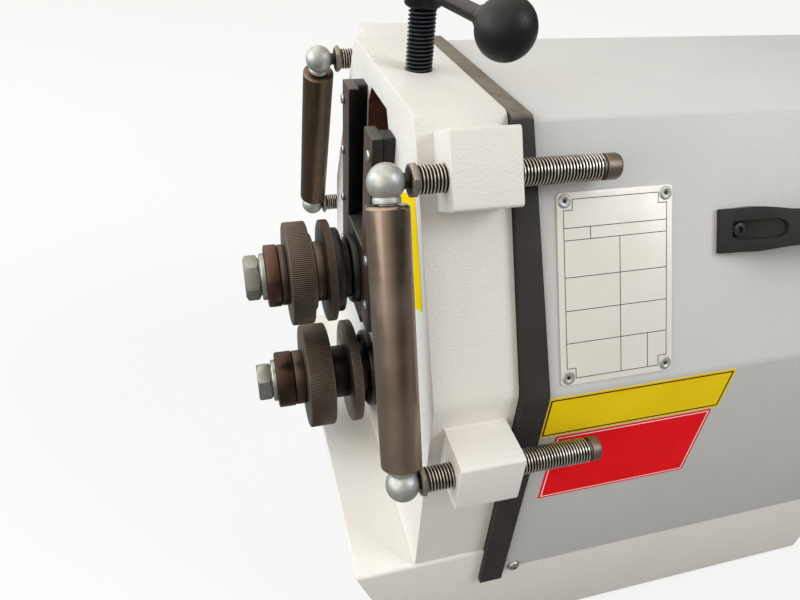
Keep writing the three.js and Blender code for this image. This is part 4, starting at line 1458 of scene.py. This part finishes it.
@dataclass
class Cover:
    """The folded cover with its rubber edge, back panel and screws."""

    fold: float = 2.6
    strip_fold: float = 3.5
    side_x: float = 163.3
    strip_middle: float = -142
    narrowing: float = 5
    narrow_from: float = 300
    narrow_over: float = 140
    screw_height: float = 98
    screw_places: tuple[float, ...] = (-125, 190)
    back: float = 208
    panel_corners: tuple[Point, ...] = ((-148, 140), (148, 140), (-148, 285), (148, 285), (-72, 428), (72, 428))
    field_corner: float = 1.5
    margin: float = 1.6
    fields: tuple[tuple[str, float, float, float, float, float], ...] = (
        ("yellow", -133.4, 8, 254, 291, 1.2), ("red", -120.5, 3, 185, 252.7, 0.8))

    def build(self, frame: dict[str, Any]) -> None:
        """Builds the cover's sheet, its edge strip, back panel, screws and printed fields.

        Args:
            frame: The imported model.
        """
        sheet = copy_of(frame, "cover", "folded_cover")
        round_edges(sheet, self.fold, (), 5, (0, 1, 0), (15, 85))
        soften(sheet, 0.25, 2, angle=60)
        dress(sheet, GREY, "frame", "grey_paint", "cover")
        strip = copy_of(frame, "edge_strip", "rubber_edge")
        round_edges(strip, self.strip_fold, (), 5, (0, 1, 0), (15, 85))
        for point in strip.data.vertices:
            if point.co.y > self.strip_middle * MM:
                share = min(max((point.co.z / MM - self.narrow_from) / self.narrow_over, 0), 1)
                point.co.y -= self.narrowing * share * MM
        soften(strip, 1.6, 4, angle=60)
        dress(strip, RUBBER, "frame", "black_rubber", "edge_strip")
        covered_copy(frame, "back_panel", "rear_panel", GREY, "frame", "grey_paint", 0.3, 2, angle=60, smooth=15)
        self.build_screws()
        self.build_fields()

    def build_screws(self) -> None:
        """Builds the dome screws that hold the cover and the panel."""
        dome = [(5.2, -0.2), (5.2, 0.5), (4.7, 1.7), (3.6, 2.6), (2.4, 3)]
        places = [(f"{side.word}_cover_screw_{number}", (side.value * self.side_x, y, self.screw_height),
                   (side.value, 0, 0))
                  for side in Side for number, y in enumerate(self.screw_places, 1)]
        places += [(f"panel_screw_{number}", (x, self.back, z), (0, 1, 0))
                   for number, (x, z) in enumerate(self.panel_corners, 1)]
        for name, at, out in places:
            screw = socket_screw(name, Axis(at, out), dome, 3.2, 1.6)
            dress(screw, ZINC, "frame", "zinc_steel")

    def build_fields(self) -> None:
        """Lays the plain yellow and red fields on the near side, each with its thin border."""
        stand = Matrix(((0, 0, 1, (self.side_x - SINK) * MM), (1, 0, 0, 0), (0, 1, 0, 0), (0, 0, 0, 1)))
        film = {"yellow": (YELLOW, BLACK_INK), "red": (RED, WHITE_INK)}
        for word, left, right, bottom, top, border in self.fields:
            fill, ink = film[word]
            field = prism(f"{word}_field", rounded(rectangle(left, right, bottom, top), self.field_corner), FILM, stand)
            dress(field, fill, "frame", "grey_paint")
            margin = self.margin
            bars = frame_bars(left + margin, right - margin, bottom + margin, top - margin, border)
            for number, bar in enumerate(bars, 1):
                line = prism(f"{word}_border_{number}", rectangle(*bar), FILM + HAIR, stand)
                dress(line, ink, "frame", "grey_paint")


def frame_bars(left: float, right: float, bottom: float, top: float, width: float) -> list[tuple[float, ...]]:
    """The four bars of a thin frame, each as left, right, bottom and top."""
    return [(left, right, top - width, top), (left, right, bottom, bottom + width),
            (left, left + width, bottom + width, top - width), (right - width, right, bottom + width, top - width)]


@dataclass(frozen=True)
class Slope:
    """The cover's slope: where it starts on the near side and which way it falls."""

    top: Point = (86, 444)
    crease: Point = (163.3, 294)

    def matrix(self, side: Side, y: float, down: float, lift: float) -> Matrix:
        """Stands a drawing on the slope: local X along the machine, local Y out, local Z across.

        Args:
            side: Which slope.
            y: The drawing's middle along the machine.
            down: Its middle down the slope.
            lift: How far it stands off.

        Returns:
            The transform, with its shift in metres.
        """
        fall = (Vector(self.crease) - Vector(self.top)).normalized()
        normal = Vector((-fall.y, fall.x))
        at = Vector(self.top) + fall * down + normal * lift
        out = Vector((side.value * normal.x, 0, normal.y))
        along = Vector((0, 1, 0))
        turn = Matrix((along, out, along.cross(out))).transposed().to_4x4()
        return Matrix.Translation(Vector((side.value * at.x, y, at.y)) * MM) @ turn


@dataclass
class Nameplate:
    """A blank plate of anodised aluminium with ruled lines and four hollow rivets."""

    width: float = 80
    height: float = 120
    thick: float = 1
    corner: float = 3
    middle: float = -86.2
    foot_gap: float = 3
    raised: float = 2.4
    inset: float = 4
    rivet_inset: float = 5
    slope: Slope = Slope()

    def build(self) -> None:
        """Builds the plate, its lines and its rivets."""
        length = (Vector(self.slope.crease) - Vector(self.slope.top)).length
        down = length - self.foot_gap - self.height / 2 - self.raised
        stand = self.slope.matrix(Side.NEAR, self.middle, down, LIFT)
        flat = stand @ FLAT
        w, h = self.width / 2, self.height / 2
        sheet = prism("blank_nameplate", rounded(rectangle(-w, w, -h, h), self.corner), self.thick, flat)
        soften(sheet, 0.15, 2, angle=60)
        dress(sheet, ALUMINIUM, "frame", "zinc_steel", "nameplate")
        for number, bar in enumerate(self.lines(w - self.inset, h - self.inset), 1):
            line = prism(f"nameplate_line_{number}", rectangle(*bar), self.thick + HAIR, flat)
            dress(line, BLACK_INK, "frame", "zinc_steel")
        for number, (x, z) in enumerate(((-1, -1), (1, -1), (1, 1), (-1, 1)), 1):
            place = flat @ Matrix.Translation(Vector((x * (w - self.rivet_inset), z * (h - self.rivet_inset), 0)) * MM)
            axis, top = Axis.of(place), self.thick
            lathe(f"nameplate_rivet_{number}", axis, [
                (1.1, top - 0.2), (4.3, top - 0.2), (4.3, top + 0.3), (3.6, top + 0.95), (2.3, top + 1.1),
                (1.3, top + 0.6), (1.1, top - 0.2)], PALE_ZINC, "frame", "zinc_steel", sides=32, ends=Ends.RING)
            # a dark disc in each rivet's hollow is painted shade
            hole_shade = turned(f"nameplate_rivet_core_{number}", axis, [
                (1.15, top - 0.3), (1.15, top + 0.1), (0.7, top + 0.15)], 24)
            dress(hole_shade, BLACKED, "frame", "zinc_steel")

    def lines(self, w: float, h: float) -> list[tuple[float, ...]]:
        """The ruled lines: a border notched round the rivets, rows and columns.

        Args:
            w: Half the width inside the border.
            h: Half its height.

        Returns:
            Each line's left, right, bottom and top.
        """
        thin, notch = 0.45, 6.5
        bars = [(-w + notch, w - notch, h - thin, h), (-w + notch, w - notch, -h, -h + thin),
                (-w, -w + thin, -h + notch, h - notch), (w - thin, w, -h + notch, h - notch)]
        for x in (-1, 1):
            for z in (-1, 1):
                corner = sorted((x * (w - notch), x * w))
                bars.append((*corner, *sorted((z * (h - notch), z * (h - notch - thin)))))
                bars.append((*sorted((x * (w - notch), x * (w - notch + thin))), *sorted((z * (h - notch), z * h))))
        rows = (0.686, 0.552, 0.146, -0.226, -0.594)
        bars += [(-w, w, row * h, row * h + thin) for row in rows]
        bars += [(share * w, share * w + thin, bottom * h, top * h)
                 for share, bottom, top in ((-0.5, 0.552, 0.686), (0.06, -1, 0.552), (0.6, -1, -0.594))]
        return bars


@dataclass
class Handles:
    """Black bow handles, one on each slope, each held by a screw at the deep end of a scooped recess."""

    middle: float = 76
    down: float = 76
    width: float = 29
    outer: tuple[Point, ...] = ((88, 3), (80, 5.2), (68, 8.4), (56, 12.5), (45, 19), (29, 28), (12, 31.7), (0, 32))
    inner: tuple[Point, ...] = ((46, 0), (39.6, 13), (25.3, 20.4), (12, 21), (0, 21))
    plan: tuple[Point, ...] = ((89, 14.2), (76, 14.2), (64, 14.4), (54, 13.2), (44, 11.6), (30, 11.2), (0, 11.2))
    scoop: tuple[Point, ...] = ((80.3, 1.8), (68, 1.8), (48, 13.4), (46, 40), (80.3, 40))
    scoop_half: float = 6.3
    screw_at: float = 73.6
    screw_radius: float = 5
    screw_seat: float = 1.8
    slope: Slope = Slope()

    def build(self) -> None:
        """Builds the handles."""
        for side in Side:
            self.build_handle(side)

    def build_handle(self, side: Side) -> None:
        """Builds one handle and its screws.

        Args:
            side: Which slope it is on.
        """
        stand = self.slope.matrix(side, self.middle, self.down, LIFT)
        outer, inner = smooth_line(self.outer), smooth_line(self.inner)
        outline = [(88, 0), *outer, *[(-u, v) for u, v in reversed(outer[:-1])], (-88, 0),
                   *[(-u, v) for u, v in inner], *list(reversed(inner[:-1]))]
        bow = prism(f"{side.word}_bow_handle", outline, self.width,
                    stand @ Matrix.Translation((0, 0, -self.width / 2 * MM)))
        lid = stand @ FLAT
        edge = smooth_line(self.plan, 4)
        edge += [(-u, w) for u, w in reversed(edge[:-1])]
        plan = edge + [(u, -w) for u, w in reversed(edge)]
        combine(bow, prism("handle_plan", plan, 60, lid), Join.KEEP_INSIDE)
        soften(bow, 2.2, 4, angle=40, smooth=50)
        for word, end in (("front", -1), ("rear", 1)):
            combine(bow, self.build_scoop(end, stand, lid), Join.CUT)
            place = lid @ Matrix.Translation((end * self.screw_at * MM, 0, self.screw_seat * MM))
            r = self.screw_radius
            screw = socket_screw(f"{side.word}_handle_{word}_screw", Axis.of(place),
                                 [(r, -0.3), (r, 1.6), (r - 0.5, 2.3), (r - 1, 2.5)], 4, 1.6)
            dress(screw, BLACKED, "frame", "black_plastic")
        soften(bow, 0, smooth=40)
        dress(bow, NYLON, "frame", "black_plastic", f"{side.word}_handle")

    def build_scoop(self, end: int, stand: Matrix, lid: Matrix) -> bpy.types.Object:
        """Builds the cutter of a recess: deep and square at the screw, round where it runs out.

        Args:
            end: -1 for the front and 1 for the rear.
            stand: The handle's drawing plane.
            lid: The plane that it stands on.

        Returns:
            The cutter.
        """
        half = self.scoop_half
        side_view = [(end * u, v) for u, v in self.scoop]
        cutter = prism("scoop", side_view, 2 * half, stand @ Matrix.Translation((0, 0, -half * MM)))
        start, stop = self.scoop[0][0], self.scoop[2][0]
        arc = [math.radians(90 - 180 * k / 12) for k in range(13)]
        plan = [(end * start, -half), (end * start, half),
                *[(end * (stop + half - half * math.cos(a)), half * math.sin(a)) for a in arc]]
        combine(cutter, prism("scoop_plan", plan, 50, lid), Join.KEEP_INSIDE)
        return cutter


@dataclass
class CableGland:
    """The gland in the back panel: a nut with flats and a domed clamp."""

    at: Place = (-95, 208.3, 160)

    def build(self) -> None:
        """Builds the gland."""
        axis = Axis(self.at)
        nut = hexagon("gland_nut", axis, 27, 0, 5)
        dress(nut, NYLON, "frame", "black_plastic")
        lathe("gland_dome", axis, [
            (5, -12), (9.8, -12), (9.8, 0), (11.5, 5), (11.5, 9), (10.6, 14), (8.4, 18.4), (6.6, 20.8), (5, 21),
            (5, -12)], NYLON, "frame", "black_plastic", "cable_gland", sides=48, ends=Ends.RING)


KEPT = {
    "base_plate": ZINC, "near_rear_keeper": MACHINED, "far_rear_keeper": MACHINED, "screw_nut": BRONZE,
    "screw_retainer": BLACKED, "upper_bush": BRONZE, "lower_front_bearing": MACHINED,
    "lower_rear_bearing": MACHINED, "upper_locknut": MACHINED, "lower_locknut": MACHINED, "drive_gear": MACHINED,
    "drive_pinion": MACHINED, "gearbox": ENAMEL, "motor": ENAMEL,
}


def dress_kept(frame: dict[str, Any]) -> None:
    """Gives the solids that stay in view their own finishes.

    Args:
        frame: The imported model.
    """
    for node, finish in KEPT.items():
        mesh = frame["nodes"][node].data
        mesh.materials.clear()
        mesh.materials.append(Shelf.take(finish))
        log.info("%s: %s, kept", node, finish.name)


@dataclass
class Studio:
    """A pale floor, soft lamps and the camera at the photograph's place."""

    eye: Place = (405.1, -311.0, 571.6)
    azimuth: float = 72.82
    pitch: float = 36.56
    roll: float = -3.72
    lens: float = 28.15
    sky: float = 1.4
    mirrored: float = 2.4
    warmth: str = "#FFFAEF"
    floor_size: float = 30
    floor_glow: float = 0.66
    aim: Place = (0, 0, 0.25)
    sensor: float = 36
    bright: Place = (-0.25, -1, 0.45)
    bright_mirrored: Place = (-0.25, -0.85, 0.85)
    dim: float = 0.1
    dim_from: float = -0.5
    bright_from: float = 0.8

    def build(self) -> None:
        """Builds the floor, the world, the lamps and the camera."""
        bpy.context.scene.view_settings.view_transform = "Standard"
        self.build_floor()
        self.build_world()
        self.add_lamp("front_lamp", (-0.6, -2.4, 1.2), 1.8, 32, "#D4ECFF")
        self.add_lamp("near_front_lamp", (1.2, -2.2, 1.0), 1.4, 6)
        self.add_lamp("near_rear_lamp", (1.5, 1.8, 2.0), 1.4, 46.5, "#F1F8FF")
        self.build_camera()

    def build_floor(self) -> None:
        """Lays the floor."""
        bpy.ops.mesh.primitive_grid_add(x_subdivisions=2, y_subdivisions=2, size=self.floor_size, location=(0, 0, 0))
        floor = named("studio_floor")
        recipe = Recipe("pale_floor")
        tone = recipe.span(recipe.noise(900, 2), 0, 1)
        recipe.set(Base_Color=recipe.blend(tone, "#8A8A8A", "#888888"), Roughness=0.9, Specular_IOR_Level=0.1)
        seen = add_node(recipe.tree, "ShaderNodeLightPath").outputs["Is Camera Ray"]
        recipe.set(Emission_Color=linear("#FFFFFF"), Emission_Strength=recipe.math("MULTIPLY", seen, self.floor_glow))
        floor.data.materials.append(recipe.material)
        floor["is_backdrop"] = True

    def build_world(self) -> None:
        """Gives the world a bright front and a dim side, and plain white where it is seen."""
        world = bpy.data.worlds.new("studio_world")
        bpy.context.scene.world = world
        world.use_nodes = True
        tree = world.node_tree
        path = add_node(tree, "ShaderNodeLightPath").outputs
        way = add_node(tree, "ShaderNodeTexCoord").outputs["Generated"]
        levels = []
        for bright, power, strength in ((self.bright, 1.0, self.sky), (self.bright_mirrored, 2.0, self.mirrored)):
            facing = add_node(tree, "ShaderNodeVectorMath", {0: way, 1: Vector(bright).normalized()},
                              operation="DOT_PRODUCT").outputs["Value"]
            level = add_node(tree, "ShaderNodeMapRange", {
                "Value": facing, "From Min": self.dim_from, "From Max": self.bright_from, "To Min": self.dim,
                "To Max": 1.0}).outputs["Result"]
            steep = add_node(tree, "ShaderNodeMath", {0: level, 1: power}, operation="POWER").outputs[0]
            levels.append(add_node(tree, "ShaderNodeMath", {0: steep, 1: strength}, operation="MULTIPLY").outputs[0])
        light = add_node(tree, "ShaderNodeMix", {0: path["Is Glossy Ray"], 2: levels[0], 3: levels[1]}).outputs[0]
        strength = add_node(tree, "ShaderNodeMix", {0: path["Is Camera Ray"], 2: light, 3: 1.0}).outputs[0]
        white = linear("#FFFFFF")
        colour = add_node(tree, "ShaderNodeMix", {0: path["Is Camera Ray"], 6: linear(self.warmth), 7: white},
                          data_type="RGBA").outputs[2]
        back = tree.nodes["Background"]
        tree.links.new(colour, back.inputs["Color"])
        tree.links.new(strength, back.inputs["Strength"])

    def add_lamp(self, name: str, at: Place, size: float, power: float, colour: str = "#FFFFFF") -> None:
        """Hangs a square soft lamp that points at the machine.

        Args:
            name: Its name.
            at: Its place in metres.
            size: Its side in metres.
            power: Its power in watts.
            colour: The tint of its light.
        """
        lamp = bpy.data.lights.new(name, "AREA")
        lamp.size, lamp.energy, lamp.color = size, power, linear(colour)[:3]
        holder = bpy.data.objects.new(name, lamp)
        holder.location = at
        holder.rotation_euler = (Vector(self.aim) - Vector(at)).to_track_quat("-Z", "Y").to_euler()
        bpy.context.scene.collection.objects.link(holder)

    def build_camera(self) -> None:
        """Stands the camera where the photograph was taken."""
        turn, fall, lean = (math.radians(a) for a in (self.azimuth, self.pitch, self.roll))
        ahead = Vector((-math.sin(turn) * math.cos(fall), math.cos(turn) * math.cos(fall), -math.sin(fall)))
        right = ahead.cross(Vector((0, 0, 1))).normalized()
        down = ahead.cross(right)
        across = right * math.cos(lean) + down * math.sin(lean)
        below = down * math.cos(lean) - right * math.sin(lean)
        camera = bpy.data.cameras.new("photo_camera")
        camera.lens, camera.sensor_width = self.lens, self.sensor
        camera.clip_start, camera.clip_end = 0.01, 100
        holder = bpy.data.objects.new("photo_camera", camera)
        turn3 = Matrix((across, -below, -ahead)).transposed().to_4x4()
        holder.matrix_world = Matrix.Translation(Vector(self.eye) * MM) @ turn3
        bpy.context.scene.collection.objects.link(holder)
        bpy.context.scene.camera = holder


def corners() -> list[list[float]]:
    """The object's lowest and highest corners as plain numbers."""
    return [[float(value) for value in corner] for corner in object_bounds()]


def main() -> None:
    """Builds the whole scene."""
    logging.basicConfig(level=logging.INFO, format="%(message)s")
    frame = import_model()
    bpy.ops.object.select_all(action="DESELECT")
    Studio().build()
    Castings().build(frame)
    Guides().build(frame)
    Carriage().build(frame)
    Press().build(frame)
    RollSet("upper", "upper_roll", UPPER_AXIS, -231.3, 5.7, UPPER_ROLLS, -141.7, 0).build()
    RollSet("lower", "lower_roll", LOWER_AXIS, -216.6, 7.4, LOWER_ROLLS, -110.7, 20).build()
    LowerBearingCap().build()
    GuideRollers().build()
    Cover().build(frame)
    Nameplate().build()
    Handles().build()
    CableGland().build()
    dress_kept(frame)
    log.info("finished")


if __name__ == "__main__":
    main()
